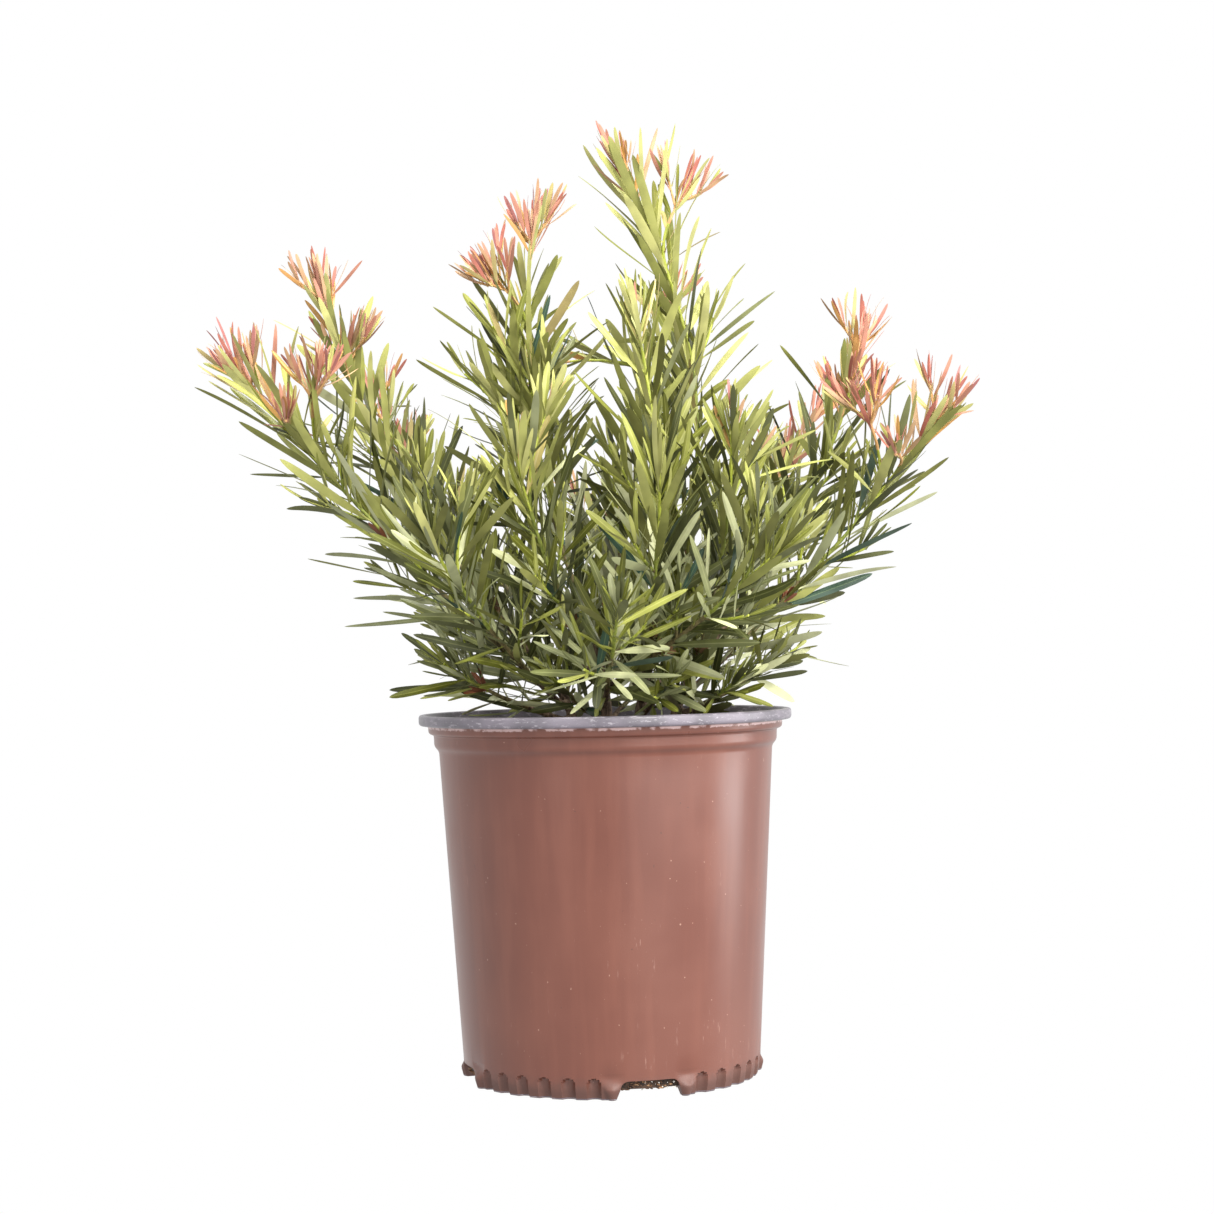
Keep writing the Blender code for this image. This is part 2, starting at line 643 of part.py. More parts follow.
# --- The whole plant ---------------------------------------------------------------------------------
def main():
    for old in list(bpy.data.objects):
        bpy.data.objects.remove(old)
    plant = bpy.data.collections.new("potted_podocarpus")
    cutters = bpy.data.collections.new("cutters")
    bpy.context.scene.collection.children.link(plant)
    bpy.context.scene.collection.children.link(cutters)
    plastic = material("brown_plastic", (0.33, 0.13, 0.09), 0.45)
    bark = material("bark", (0.16, 0.10, 0.06), 0.85)
    green = material("leaf_green", (0.16, 0.24, 0.05), 0.5)
    soil = material("potting_mix", (0.05, 0.035, 0.025), 0.95)

    make_pot(plant, cutters, plastic)
    make_mix(plant, soil)

    stems = stem_axes()
    limbs = []
    for name, (points, radii) in stems.items():
        add_object(f"stem_{name}", limb(points, radii, STEM_SIDES, Vector((0, 0, 1))), plant, bark)
        limbs += [(mark, radii[0] / ROOT_FLARE) for mark in marks(points)]
    shoots = shoot_axes(stems)
    for name, shoot in shoots.items():
        bough = shoot["bough"]
        radii = tapered(bough, BOUGH_RADIUS, SHOOT_RADIUS)
        add_object(f"bough_{name}", limb(bough, radii, BOUGH_SIDES, shoot["outward"]), plant, bark)
        limbs += [(mark, BOUGH_RADIUS) for mark in marks(bough)]
    add_laterals(shoots)

    own = {name: [p for path in [s["main"], *s["sides"]] for p in marks(path)]
           for name, s in shoots.items()}
    for number, (name, shoot) in enumerate(shoots.items()):
        others = [p for other, spots in own.items() if other != name for p in spots]
        count = make_shoot(name, number, shoot, tree_of_points(own[name]), tree_of_points(others),
                           limbs, plant, green)
        print(f"shoot_{name}: {count} leaves")


main()
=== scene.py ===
# %% [markdown]
# # A potted podocarpus
# The real thing is a young evergreen shrub with narrow leathery leaves and coral new growth, in the
# round blow-moulded pot that nurseries sell it in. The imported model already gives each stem, bough,
# leafy shoot and the pot at its true size. This script dresses that model: every solid is replaced by
# a finer mesh in the same place, with the finish of the real material.

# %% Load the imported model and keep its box
import math
import random

import bmesh
import bpy
import numpy as np
from mathutils import Matrix, Vector, noise


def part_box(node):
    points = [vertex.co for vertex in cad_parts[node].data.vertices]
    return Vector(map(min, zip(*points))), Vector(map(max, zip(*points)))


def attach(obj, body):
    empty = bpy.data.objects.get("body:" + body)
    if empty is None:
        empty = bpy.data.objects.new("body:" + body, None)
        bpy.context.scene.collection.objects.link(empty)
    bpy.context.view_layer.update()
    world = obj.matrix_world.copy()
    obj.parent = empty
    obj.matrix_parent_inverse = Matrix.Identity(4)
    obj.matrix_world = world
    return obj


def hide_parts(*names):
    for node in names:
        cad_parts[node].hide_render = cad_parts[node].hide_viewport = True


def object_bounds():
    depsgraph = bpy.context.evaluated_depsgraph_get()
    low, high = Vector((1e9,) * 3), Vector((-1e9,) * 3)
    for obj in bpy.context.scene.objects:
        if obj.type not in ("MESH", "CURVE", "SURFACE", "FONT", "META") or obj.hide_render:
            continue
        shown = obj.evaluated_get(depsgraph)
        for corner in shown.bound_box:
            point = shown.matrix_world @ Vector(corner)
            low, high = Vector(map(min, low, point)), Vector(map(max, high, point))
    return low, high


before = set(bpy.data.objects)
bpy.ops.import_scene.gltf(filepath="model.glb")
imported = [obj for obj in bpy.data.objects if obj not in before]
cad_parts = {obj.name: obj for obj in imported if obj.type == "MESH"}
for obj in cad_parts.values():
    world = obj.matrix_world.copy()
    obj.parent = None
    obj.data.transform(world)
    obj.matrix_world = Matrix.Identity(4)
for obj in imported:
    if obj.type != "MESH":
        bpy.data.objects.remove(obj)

MM = 0.001
cad_low, cad_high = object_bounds()
print("CAD box, mm:", [round(v / MM, 1) for v in (*cad_low, *cad_high)])
print("solids to dress:", len(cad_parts))

# %% [markdown]
# ## Camera and light
# A product picture of a plant is taken with a long lens from a little above the pot's rim, on plain
# white. A camera can be placed by eye, but it is surer to write down where it stands and the point
# that it looks at, and to let `to_track_quat` work out the turn. The lens follows from how much of the
# scene the picture is wide: the angle is worked out once, and turned into millimetres of lens for
# Blender's 36 mm sensor. A small turn about its own axis is left in, as in a picture held by hand.

# %% The camera
CAMERA_PLACE = Vector((0.0, -1.474, 0.265))
CAMERA_AIM = Vector((0.0027, 0.0, 0.2885))
PICTURE_WIDTH = 0.7544          # metres of the scene across the picture, at the plant's middle
CAMERA_ROLL = -1.22             # degrees
SENSOR = 36.0                   # millimetres

view_line = CAMERA_AIM - CAMERA_PLACE
lens = bpy.data.cameras.new("camera")
lens.sensor_width = SENSOR
lens.lens = SENSOR * view_line.length / PICTURE_WIDTH
camera = bpy.data.objects.new("camera", lens)
turn = view_line.to_track_quat("-Z", "Y").to_matrix().to_4x4()
camera.matrix_world = (
    Matrix.Translation(CAMERA_PLACE) @ turn @ Matrix.Rotation(math.radians(CAMERA_ROLL), 4, "Z")
)
bpy.context.collection.objects.link(camera)
bpy.context.scene.camera = camera
print("lens, mm:", round(lens.lens, 1))

# %% [markdown]
# The white all round comes from the world's background colour, which also lights the plant softly from
# every side. A wide softbox in front on the right gives the satin plastic its broad pale streak. A small
# key light over it and another over the plant pick out single leaves, so that the crown doesn't look
# flat. One on the right lights that edge of the pot, and a narrow strip on the left leaves a faint line
# of light on the darker side. Area lights are used because their size sets how soft a shadow or a
# highlight is. "Standard" colour keeps white white, as in a catalogue picture.

# %% Lights and world
WORLD_LIGHT = 1.0
# name: where it stands, what it faces (m), width and height (m), watts, colour
LIGHTS = {
    "wide_softbox": ((1.38, -1.58, 0.70), (0, 0, 0.18), (2.4, 1.6), 53.0, (1.0, 0.99, 0.97)),
    "key_softbox": ((0.95, -1.60, 1.75), (0, 0, 0.34), (0.5, 0.5), 50.0, (1.0, 0.97, 0.92)),
    "top_softbox": ((-0.10, -0.40, 2.0), (0, 0, 0.34), (0.7, 0.7), 56.0, (1.0, 0.99, 0.95)),
    "right_softbox": ((1.80, 0.10, 0.40), (0, 0, 0.12), (0.8, 1.2), 19.0, (1.0, 1.0, 1.0)),
    "strip_softbox": ((-1.05, -1.75, 0.60), (0, 0, 0.14), (0.3, 1.0), 5.0, (1.0, 1.0, 1.0)),
}

world = bpy.data.worlds.new("studio")
world.use_nodes = True
world.node_tree.nodes["Background"].inputs["Color"].default_value = (1.0, 1.0, 1.0, 1.0)
world.node_tree.nodes["Background"].inputs["Strength"].default_value = WORLD_LIGHT
bpy.context.scene.world = world
for name, (place, target, size, watts, colour) in LIGHTS.items():
    light = bpy.data.lights.new(name, "AREA")
    light.shape = "RECTANGLE"
    light.size, light.size_y = size
    light.energy = watts
    light.color = colour
    lamp = bpy.data.objects.new(name, light)
    facing = (Vector(target) - Vector(place)).to_track_quat("-Z", "Y").to_matrix().to_4x4()
    lamp.matrix_world = Matrix.Translation(place) @ facing
    bpy.context.collection.objects.link(lamp)
bpy.context.scene.view_settings.view_transform = "Standard"
print("lights:", ", ".join(LIGHTS))

# %% [markdown]
# ## Writing materials as sums
# Every finish here comes from Blender's shader nodes. Building them by hand in the editor is quick, but
# in a script a long list of nodes and links is hard to read. So one small class wraps a socket: a sum
# written on it, such as `1 - mask * 0.5`, adds the Math nodes, and its `node` method adds any other
# node, settings first and then the sockets.

# %% The class that wraps a socket
class Wire:
    """One output socket of a material's nodes, on which sums can be written."""

    def __init__(self, socket):
        self.socket = socket

    def node(self, kind, settings, sockets, output=0):
        """Add a node of a kind: its settings first, then the values or wires of its sockets."""
        made = self.socket.id_data.nodes.new(kind)
        for name, value in settings.items():
            if name == "stops":
                set_stops(made.color_ramp, value)
            else:
                setattr(made, name, value)
        for name, value in sockets.items():
            if isinstance(value, Wire):
                made.id_data.links.new(value.socket, made.inputs[name])
            else:
                made.inputs[name].default_value = value
        return Wire(made.outputs[output])

    def maths(self, operation, first, second):
        return self.node("ShaderNodeMath", {"operation": operation}, {0: first, 1: second})

    def __add__(self, other):
        return self.maths("ADD", self, other)

    def __sub__(self, other):
        return self.maths("SUBTRACT", self, other)

    def __rsub__(self, other):
        return self.maths("SUBTRACT", other, self)

    def __mul__(self, other):
        return self.maths("MULTIPLY", self, other)

    __radd__ = __add__
    __rmul__ = __mul__


def set_stops(ramp, stops):
    """Give a colour ramp its stops: a place from 0 to 1, and a grey from 0 to 1."""
    while len(ramp.elements) < len(stops):
        ramp.elements.new(1.0)
    for element, (place, grey) in zip(ramp.elements, stops):
        element.position = place
        element.color = (grey, grey, grey, 1.0)


print("sums a wire can write:", "a + b, a - b, a * b")

# %% [markdown]
# A few sums come back in every finish: noise at a given size, a mask that cuts a soft or hard edge out
# of a value, and a blend of two colours. Colours are written as people read them, in 8-bit sRGB, and
# turned into the linear numbers that shaders use.

# %% Helpers for finishes
def srgb(red, green, blue):
    """An 8-bit sRGB colour as the linear RGBA that a shader's socket holds, by the standard's curve."""
    linear = []
    for value in (red, green, blue):
        share = value / 255
        linear.append(share / 12.92 if share <= 0.04045 else ((share + 0.055) / 1.055) ** 2.4)
    return (*linear, 1.0)


def new_finish(name):
    """A new material: itself, its shader node and a wire of the place in the object."""
    made = bpy.data.materials.new(name)
    made.use_nodes = True
    shader = made.node_tree.nodes["Principled BSDF"]
    place = made.node_tree.nodes.new("ShaderNodeTexCoord")
    return made, shader, Wire(place.outputs["Object"])


def grain(place, size, detail=2.0, roughness=0.5, stretch=(1, 1, 1)):
    """Noise from 0 to 1 whose lumps are about `size` metres across, and longer along a stretch."""
    scaled = place.node("ShaderNodeVectorMath", {"operation": "MULTIPLY"},
                        {0: place, 1: tuple(1 / (size * s) for s in stretch)})
    return place.node("ShaderNodeTexNoise", {},
                      {"Vector": scaled, "Scale": 1.0, "Detail": detail, "Roughness": roughness})


def above(value, low, high):
    """A mask that rises from 0 to 1 as the value goes from low to high."""
    return value.node("ShaderNodeMapRange", {"interpolation_type": "SMOOTHSTEP"},
                      {"Value": value, "From Min": low, "From Max": high})


def blend(mask, first, second):
    """The first colour where the mask is 0, the second where it is 1."""
    return mask.node("ShaderNodeMix", {"data_type": "RGBA"}, {0: mask, 6: first, 7: second}, 2)


def height_of(place):
    """The height above the ground, in metres."""
    return place.node("ShaderNodeSeparateXYZ", {}, {0: place}, 2)


def connect(shader, socket, wire):
    shader.id_data.links.new(wire.socket, shader.inputs[socket])


def relief(shader, wire, depth, strength=1.0):
    """Turn a value into a bump of a depth in metres."""
    connect(shader, "Normal", wire.node("ShaderNodeBump", {}, {
        "Strength": strength, "Distance": depth, "Height": wire}))


print("mid grey 128 is", round(srgb(128, 128, 128)[0], 3), "in linear light")

# %% [markdown]
# ## The pot's plastic
# The pot is blown in two layers at once: a thin brown outside over a slate grey inside, which shows on
# the lip. It is satin, not shiny: faint flow marks run down the wall, it is scuffed, dusty and pitted in
# places, dirty at the ground, and the brown layer is worn to a pale ragged line under the lip. All of
# that changes over the surface, so it goes into colour, roughness and bump, as masks of noise and
# height. An even brown would look like clay.

# %% Brown plastic for the outside
LIP_LINE = 217.3 * MM           # where the brown layer ends, under the lip
WEAR = (1.9 * MM, 1.2 * MM)     # how far under that line its wear starts, and is full
RAGGED = 3.0 * MM               # how far that line wanders up and down
DIRT_HEIGHT = 15.2 * MM         # dirt thins out up to here
DIRT_FADE = 12 * MM
DIRT_RAGGED = 10.0 * MM
SPECK = (0.86, 0.89)            # the peaks of fine noise that become specks of dust, or pits
BROWN = {                       # the wall's colours
    "deep": srgb(95, 52, 40), "fair": srgb(102, 58, 45), "flow": srgb(119, 72, 57),
    "scuff": srgb(152, 116, 104), "dust": srgb(176, 142, 126), "pit": srgb(70, 42, 36),
    "dirt": srgb(58, 40, 34), "worn": srgb(176, 150, 148),
}

brown_plastic, shader, place = new_finish("brown_plastic")
height = height_of(place)
cloud = grain(place, 60 * MM, 3.0)
flow = grain(place, 9 * MM, 2.0, stretch=(1, 1, 14))
scuffs = above(grain(place, 2.6 * MM, 4.0, 0.7, (1, 1, 6)), 0.62, 0.70) * above(cloud, 0.50, 0.66)
dust = above(grain(place, 1.5 * MM, 0.0), *SPECK)
pits = above(grain(place, 2.1 * MM, 0.0, stretch=(1.1, 0.9, 1)), *SPECK)
dirt_line = DIRT_HEIGHT - height + grain(place, 5 * MM, 3.0) * DIRT_RAGGED - DIRT_RAGGED / 2
dirt = above(dirt_line, 0.0, DIRT_FADE)
lip_line = height + grain(place, 3.2 * MM, 4.0, 0.7) * RAGGED - RAGGED / 2
worn = above(lip_line, LIP_LINE - WEAR[0], LIP_LINE - WEAR[1])
layers = {
    "flow": above(flow, 0.42, 0.72) * 0.24,
    "scuff": scuffs * 0.45,
    "dust": dust * 0.6,
    "pit": pits * 0.6,
    "dirt": dirt * 0.55,
    "worn": worn * above(grain(place, 7 * MM, 3.0), 0.40, 0.52),
}
colour = blend(above(cloud, 0.35, 0.70), BROWN["deep"], BROWN["fair"])
for name, mask in layers.items():
    colour = blend(mask, colour, BROWN[name])
connect(shader, "Base Color", colour)
shader.inputs["Specular IOR Level"].default_value = 0.60
connect(shader, "Roughness", 0.20 + 0.24 * cloud + 0.22 * scuffs + 0.30 * dirt)
relief(shader, grain(place, 0.9 * MM, 3.0) * 0.25 + flow * 0.25 + scuffs * 0.4, 0.25 * MM, 0.40)
print("brown plastic:", len(brown_plastic.node_tree.nodes), "nodes")

# %% Slate plastic for the lip and the inside
SLATE = {"deep": srgb(87, 83, 90), "fair": srgb(112, 106, 115), "streak": srgb(168, 163, 169)}

slate_plastic, shader, place = new_finish("slate_plastic")
cloud = grain(place, 25 * MM, 4.0)
streaks = above(grain(place, 1.6 * MM, 4.0, 0.7, (3, 3, 1)), 0.55, 0.66)
colour = blend(above(cloud, 0.35, 0.68), SLATE["deep"], SLATE["fair"])
connect(shader, "Base Color", blend(streaks * 0.60, colour, SLATE["streak"]))
connect(shader, "Roughness", 0.28 + 0.16 * cloud + 0.2 * streaks)
relief(shader, grain(place, 1.1 * MM, 3.0) + streaks * 0.5, 0.25 * MM, 0.5)
print("slate plastic:", len(slate_plastic.node_tree.nodes), "nodes")

# %% [markdown]
# ## The pot's shape
# The wall is a thin round shell, so a lathe is the natural tool: an outline of radius and height, spun
# about Z. Three things break the round form: concave finger flutes in each quarter of the foot, a
# pointed buttress on each side of every drain notch, and the notches. The flutes and buttresses only
# move the wall in or out, so they are worked into the radius as the outline is spun. The notches are
# holes, and a Boolean cuts those.

# %% The pot's sizes
POT_HEIGHT = 224.0 * MM
LIP_RADIUS = 115.4 * MM
LIP_DEPTH = 6.5 * MM
COLLAR_RADIUS = 109.8 * MM
BAND_RADIUS = 106.3 * MM
COLLAR_BOTTOM = 212.5 * MM
BAND_BOTTOM = 201.5 * MM
BODY_RADIUS = 103.2 * MM
FOOT_RADIUS = 91.4 * MM
FOOT_HEIGHT = 6.0 * MM
WALL = 1.5 * MM
FLOOR_RAISE = 4.0 * MM
PAD_RADIUS = 40.0 * MM
FOOT_RING = 6.5 * MM
MIX_TOP = 205.0 * MM

NOTCH_COUNT = 4
NOTCH_AZIMUTH = -75.9           # degrees, of the first notch
NOTCH_WIDTH = 36.0 * MM
NOTCH_HEIGHT = 11.0 * MM
NOTCH_DEPTH = 14.0 * MM
NOTCH_FLARE = 6.0 * MM          # how much wider each side of its cutter is at the foot, underground
FLUTE_ANGLES = (21.0, 30.6, 40.2, 49.8, 59.4, 69.0)   # degrees past each notch
FLUTE_RADIUS = 4.3 * MM
FLUTE_HEIGHT = 12.5 * MM
FLUTE_ROUND = 4.5 * MM          # over which its top closes
FLUTE_OUT = 1.1 * MM            # how far outside the wall a flute's axis lies
BUTTRESS_ANGLES = (14.4, 75.6)  # degrees past each notch
BUTTRESS_HALF = (1.6, 5.8)      # degrees, half its width at the ground and at its top
BUTTRESS_OUT = 2.3 * MM
BUTTRESS_HOLLOW = 1.3 * MM      # how far the wall first dips in above it
BUTTRESS_HEIGHT = 16.5 * MM
BUTTRESS_STEEP = 1.35           # how much sooner than at the ground it stands fully out
HOLLOW_SPAN = 1.2               # and how much sooner than that the dip is over
FOOT_DETAIL = 16 * MM           # the outline is finely stepped up to here
POT_SHARP = 32                  # degrees; sharper edges of the pot stay crisp

low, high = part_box("pot")
print("the pot's solid, mm:", [round(v / MM, 1) for v in (*low, *high)])

# %% An outline with rounded corners
def rounded(corners, radii, steps=4):
    """A closed outline whose corners are turned into short curves of about the given radii."""
    outline = []
    for i, corner in enumerate(corners):
        before, here = Vector(corners[i - 1]), Vector(corner)
        after = Vector(corners[(i + 1) % len(corners)])
        if radii[i] == 0:
            outline.append(here)
            continue
        reach = min(radii[i], (before - here).length * 0.45, (after - here).length * 0.45)
        first = here + (before - here).normalized() * reach
        last = here + (after - here).normalized() * reach
        for k in range(steps + 1):
            t = k / steps
            outline.append(first * (1 - t) ** 2 + here * (2 * t * (1 - t)) + last * t ** 2)
    return outline


def stepped(outline, longest, foot_step, foot_height):
    """Add points to an outline: closer together where the outer wall runs down near the ground."""
    points = []
    for a, b in zip(outline, outline[1:] + outline[:1]):
        near_ground = min(a.y, b.y) < foot_height and a.x > FOOT_RADIUS - 3 * MM
        step = foot_step if near_ground and b.y < foot_height * 1.1 else longest
        count = max(1, math.ceil((b - a).length / step))
        points += [a.lerp(b, k / count) for k in range(count)]
    return points


def body_radius(height):
    """The outer radius of the pot's straight taper."""
    taper = BAND_BOTTOM - FOOT_HEIGHT
    return FOOT_RADIUS + (BODY_RADIUS - FOOT_RADIUS) * (height - FOOT_HEIGHT) / taper


lip_bottom = POT_HEIGHT - LIP_DEPTH
ring_inner = FOOT_RADIUS - FOOT_RING
floor_radius = body_radius(FLOOR_RAISE) - 2.0 * WALL
plain_from = FOOT_DETAIL + 10 * MM      # the wall is plain from here up
POT_CORNERS = (                 # radius, height, and the size of the corner's curve, all in metres
    (LIP_RADIUS, POT_HEIGHT, 2.6 * MM),
    (LIP_RADIUS, lip_bottom, 2.2 * MM),
    (COLLAR_RADIUS, lip_bottom - 0.4 * MM, 0.6 * MM),
    (COLLAR_RADIUS - 0.4 * MM, COLLAR_BOTTOM, 1.6 * MM),
    (BAND_RADIUS, COLLAR_BOTTOM - 1.0 * MM, 1.0 * MM),
    (BAND_RADIUS - 0.3 * MM, BAND_BOTTOM + 3.0 * MM, 2.0 * MM),
    (BODY_RADIUS, BAND_BOTTOM, 2.0 * MM),
    (body_radius(plain_from), plain_from, 0),
    (body_radius(FOOT_DETAIL), FOOT_DETAIL, 0),
    (FOOT_RADIUS, FOOT_HEIGHT, 2.0 * MM),
    (FOOT_RADIUS - 1.5 * MM, 0, 1.0 * MM),
    (ring_inner, 0, 0.8 * MM),
    (ring_inner - 1.0 * MM, FLOOR_RAISE, 0.8 * MM),
    (PAD_RADIUS + FLOOR_RAISE, FLOOR_RAISE, 1.5 * MM),
    (PAD_RADIUS, 0, 1.5 * MM),
    (0.5 * MM, 0, 0),
    (0.5 * MM, WALL, 0),
    (PAD_RADIUS - 1.0 * MM, WALL, 1.5 * MM),
    (PAD_RADIUS + FLOOR_RAISE - 1.0 * MM, FLOOR_RAISE + WALL, 1.5 * MM),
    (floor_radius, FLOOR_RAISE + WALL, 2.0 * MM),
    (BODY_RADIUS - WALL, BAND_BOTTOM, 2.0 * MM),
    (COLLAR_RADIUS - 2.0 * WALL, COLLAR_BOTTOM, 2.0 * MM),
    (LIP_RADIUS - 3.0 * WALL, POT_HEIGHT, 1.5 * MM),
)
outline = rounded([c[:2] for c in POT_CORNERS], [c[2] for c in POT_CORNERS])
pot_outline = stepped(outline, 12 * MM, 0.8 * MM, FOOT_DETAIL)
print("points in the pot's outline:", len(pot_outline))

# %% How far the foot stands in or out
def foot_relief(angle, height):
    """How far flutes move the wall in and buttresses out, for an array of angles at one height."""
    past = (np.degrees(angle) - NOTCH_AZIMUTH) % (360 / NOTCH_COUNT)
    moved = np.zeros_like(angle)
    round_from = FLUTE_HEIGHT - FLUTE_ROUND
    rise = min(1.0, max(0.0, (height - round_from) / (FLUTE_HEIGHT - round_from)))
    chord = math.sqrt(FLUTE_RADIUS ** 2 - FLUTE_OUT ** 2) * math.sqrt(max(0.0, 1 - rise ** 2))
    for flute in FLUTE_ANGLES:
        across = np.abs(np.radians(past - flute)) * FOOT_RADIUS
        inside = np.sqrt(np.maximum(0, FLUTE_RADIUS ** 2 - across ** 2)) - FLUTE_OUT
        moved -= np.where(across < chord, np.maximum(0, inside), 0)
    up = min(1.0, max(0.0, height / BUTTRESS_HEIGHT))
    half = BUTTRESS_HALF[0] + (BUTTRESS_HALF[1] - BUTTRESS_HALF[0]) * up
    out = min(1.0, (1 - up) * BUTTRESS_STEEP)
    hollow = BUTTRESS_HOLLOW * math.sin(math.pi * min(1.0, HOLLOW_SPAN * out))
    swell = BUTTRESS_OUT * out * out * (3 - 2 * out) - hollow
    for buttress in BUTTRESS_ANGLES:
        inside = np.clip(1 - (np.abs(past - buttress) / half) ** 2, 0, 1)
        moved += swell * inside
    return moved


print("deepest flute, mm:", round((FLUTE_RADIUS - FLUTE_OUT) / MM, 2))

# %% Spin the outline
POT_COLUMNS = 600


def new_piece(name, points, faces, finishes, face_finish=None, sharp=40):
    """Make a mesh object from points and faces, smooth apart from edges sharper than an angle."""
    mesh = bpy.data.meshes.new(name)
    mesh.from_pydata(points, [], faces)
    for finish in finishes:
        mesh.materials.append(finish)
    if face_finish is not None:
        mesh.polygons.foreach_set("material_index", face_finish)
    mesh.shade_smooth()
    mesh.set_sharp_from_angle(angle=math.radians(sharp))
    mesh.update()
    made = bpy.data.objects.new(name, mesh)
    bpy.context.collection.objects.link(made)
    return made


def grid_faces(rows, columns):
    """Quads of a grid that closes on itself both ways."""
    row, column = np.meshgrid(np.arange(rows), np.arange(columns), indexing="ij")
    next_row, next_column = (row + 1) % rows, (column + 1) % columns
    corners = (row * columns + column, next_row * columns + column,
               next_row * columns + next_column, row * columns + next_column)
    return np.stack([c.ravel() for c in corners], axis=1)


def is_slate(spot):
    """Whether a spot of the outline, as radius and height, lies on the lip or inside the pot."""
    within_wall = spot.x < body_radius(max(spot.y, 0)) - WALL * 0.6
    return spot.y > lip_bottom - 0.2 * MM or (within_wall and spot.y > WALL * 0.5)


angles = np.arange(POT_COLUMNS) * (math.tau / POT_COLUMNS)
rings = []
for radius, height in pot_outline:
    spun = np.full(POT_COLUMNS, radius)
    if radius > ring_inner + 1 * MM and height < FOOT_DETAIL + 1 * MM:
        spun = spun + foot_relief(angles, height)
    level = np.full(POT_COLUMNS, height)
    rings.append(np.stack([spun * np.cos(angles), spun * np.sin(angles), level], 1))
pot_faces = grid_faces(len(rings), POT_COLUMNS)[:, ::-1]
middles = [(a + b) / 2 for a, b in zip(pot_outline, pot_outline[1:] + pot_outline[:1])]
face_layer = np.repeat([int(is_slate(spot)) for spot in middles], POT_COLUMNS)
pot = new_piece("nursery_pot", np.concatenate(rings).tolist(), pot_faces.tolist(),
                [brown_plastic, slate_plastic], face_layer.tolist(), POT_SHARP)
print("pot faces:", len(pot.data.polygons))

# %% Cut the drain notches
NOTCH_EASE = 5.0 * MM           # the radius of its upper corners
EASE_SPANS = 5


def notch_outline():
    """An arch with a flat top and eased corners, as (across, up) points; half of it is underground."""
    half = NOTCH_WIDTH / 2
    points = [(-half - NOTCH_FLARE, -NOTCH_HEIGHT)]
    for side in (-1, 1):
        for k in range(EASE_SPANS + 1):
            swing = math.radians(90 * (k / EASE_SPANS if side < 0 else 1 - k / EASE_SPANS))
            points.append((side * (half - NOTCH_EASE + NOTCH_EASE * math.cos(swing)),
                           NOTCH_HEIGHT - NOTCH_EASE + NOTCH_EASE * math.sin(swing)))
    return points + [(half + NOTCH_FLARE, -NOTCH_HEIGHT)]


cutter_mesh = bmesh.new()
for quarter in range(NOTCH_COUNT):
    swing = math.radians(NOTCH_AZIMUTH + quarter * 360 / NOTCH_COUNT)
    outward = Vector((math.cos(swing), math.sin(swing), 0))
    across = Vector((-math.sin(swing), math.cos(swing), 0))
    ends = []
    for reach in (FOOT_RADIUS - NOTCH_DEPTH, FOOT_RADIUS + NOTCH_DEPTH):
        ends.append([cutter_mesh.verts.new(outward * reach + across * u + Vector((0, 0, v)))
                     for u, v in notch_outline()])
    cutter_mesh.faces.new(ends[0])
    cutter_mesh.faces.new(reversed(ends[1]))
    for i in range(len(ends[0])):
        j = (i + 1) % len(ends[0])
        cutter_mesh.faces.new((ends[0][j], ends[0][i], ends[1][i], ends[1][j]))
bmesh.ops.recalc_face_normals(cutter_mesh, faces=cutter_mesh.faces[:])
notch_mesh = bpy.data.meshes.new("notches")
cutter_mesh.to_mesh(notch_mesh)
cutter_mesh.free()
notches = bpy.data.objects.new("notches", notch_mesh)
bpy.context.collection.objects.link(notches)
cut = pot.modifiers.new("notches", "BOOLEAN")
cut.operation = "DIFFERENCE"
cut.solver = "EXACT"
cut.object = notches
graph = bpy.context.evaluated_depsgraph_get()
cut_mesh = bpy.data.meshes.new_from_object(pot.evaluated_get(graph))
pot.modifiers.clear()
pot.data = cut_mesh
pot.data.shade_smooth()
pot.data.set_sharp_from_angle(angle=math.radians(POT_SHARP))
bpy.data.objects.remove(notches)
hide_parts("pot")
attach(pot, "root")
print("pot faces with its notches:", len(pot.data.polygons))

# %% [markdown]
# ## The potting mix
# Nursery mix is shredded pine bark, peat and white perlite. Seen from above it is a crumbly surface
# with flat chips lying every way, and it also shows dark in the drain notches. A texture alone would
# look painted on from the side, so the body of the mix is a turned form with a lumpy skin, and the
# chips and the perlite are small real meshes sunk a little into it, placed by a seed.

# %% Finishes of the mix
def crumbly(name, dark, light, size, roughness, depth):
    """A dull crumbly finish between two colours."""
    made, shader, place = new_finish(name)
    lumps = grain(place, size, 5.0, 0.65)
    connect(shader, "Base Color", blend(above(lumps, 0.34, 0.68), dark, light))
    connect(shader, "Roughness", roughness + 0.12 * lumps)
    relief(shader, lumps, depth)
    return made


peat = crumbly("peat", srgb(34, 24, 18), srgb(74, 54, 40), 3 * MM, 0.82, 1.5 * MM)
bark_chip = crumbly("bark_chip", srgb(58, 38, 26), srgb(122, 86, 58), 2.2 * MM, 0.78, 0.5 * MM)
bark_chip_pale = crumbly("bark_chip_pale", srgb(96, 70, 50), srgb(162, 126, 92), 2.2 * MM, 0.78, 0.5 * MM)
perlite = crumbly("perlite", srgb(198, 194, 184), srgb(238, 236, 230), 1.0 * MM, 0.80, 0.3 * MM)
print("mix finishes:", ", ".join(f.name for f in (peat, bark_chip, bark_chip_pale, perlite)))

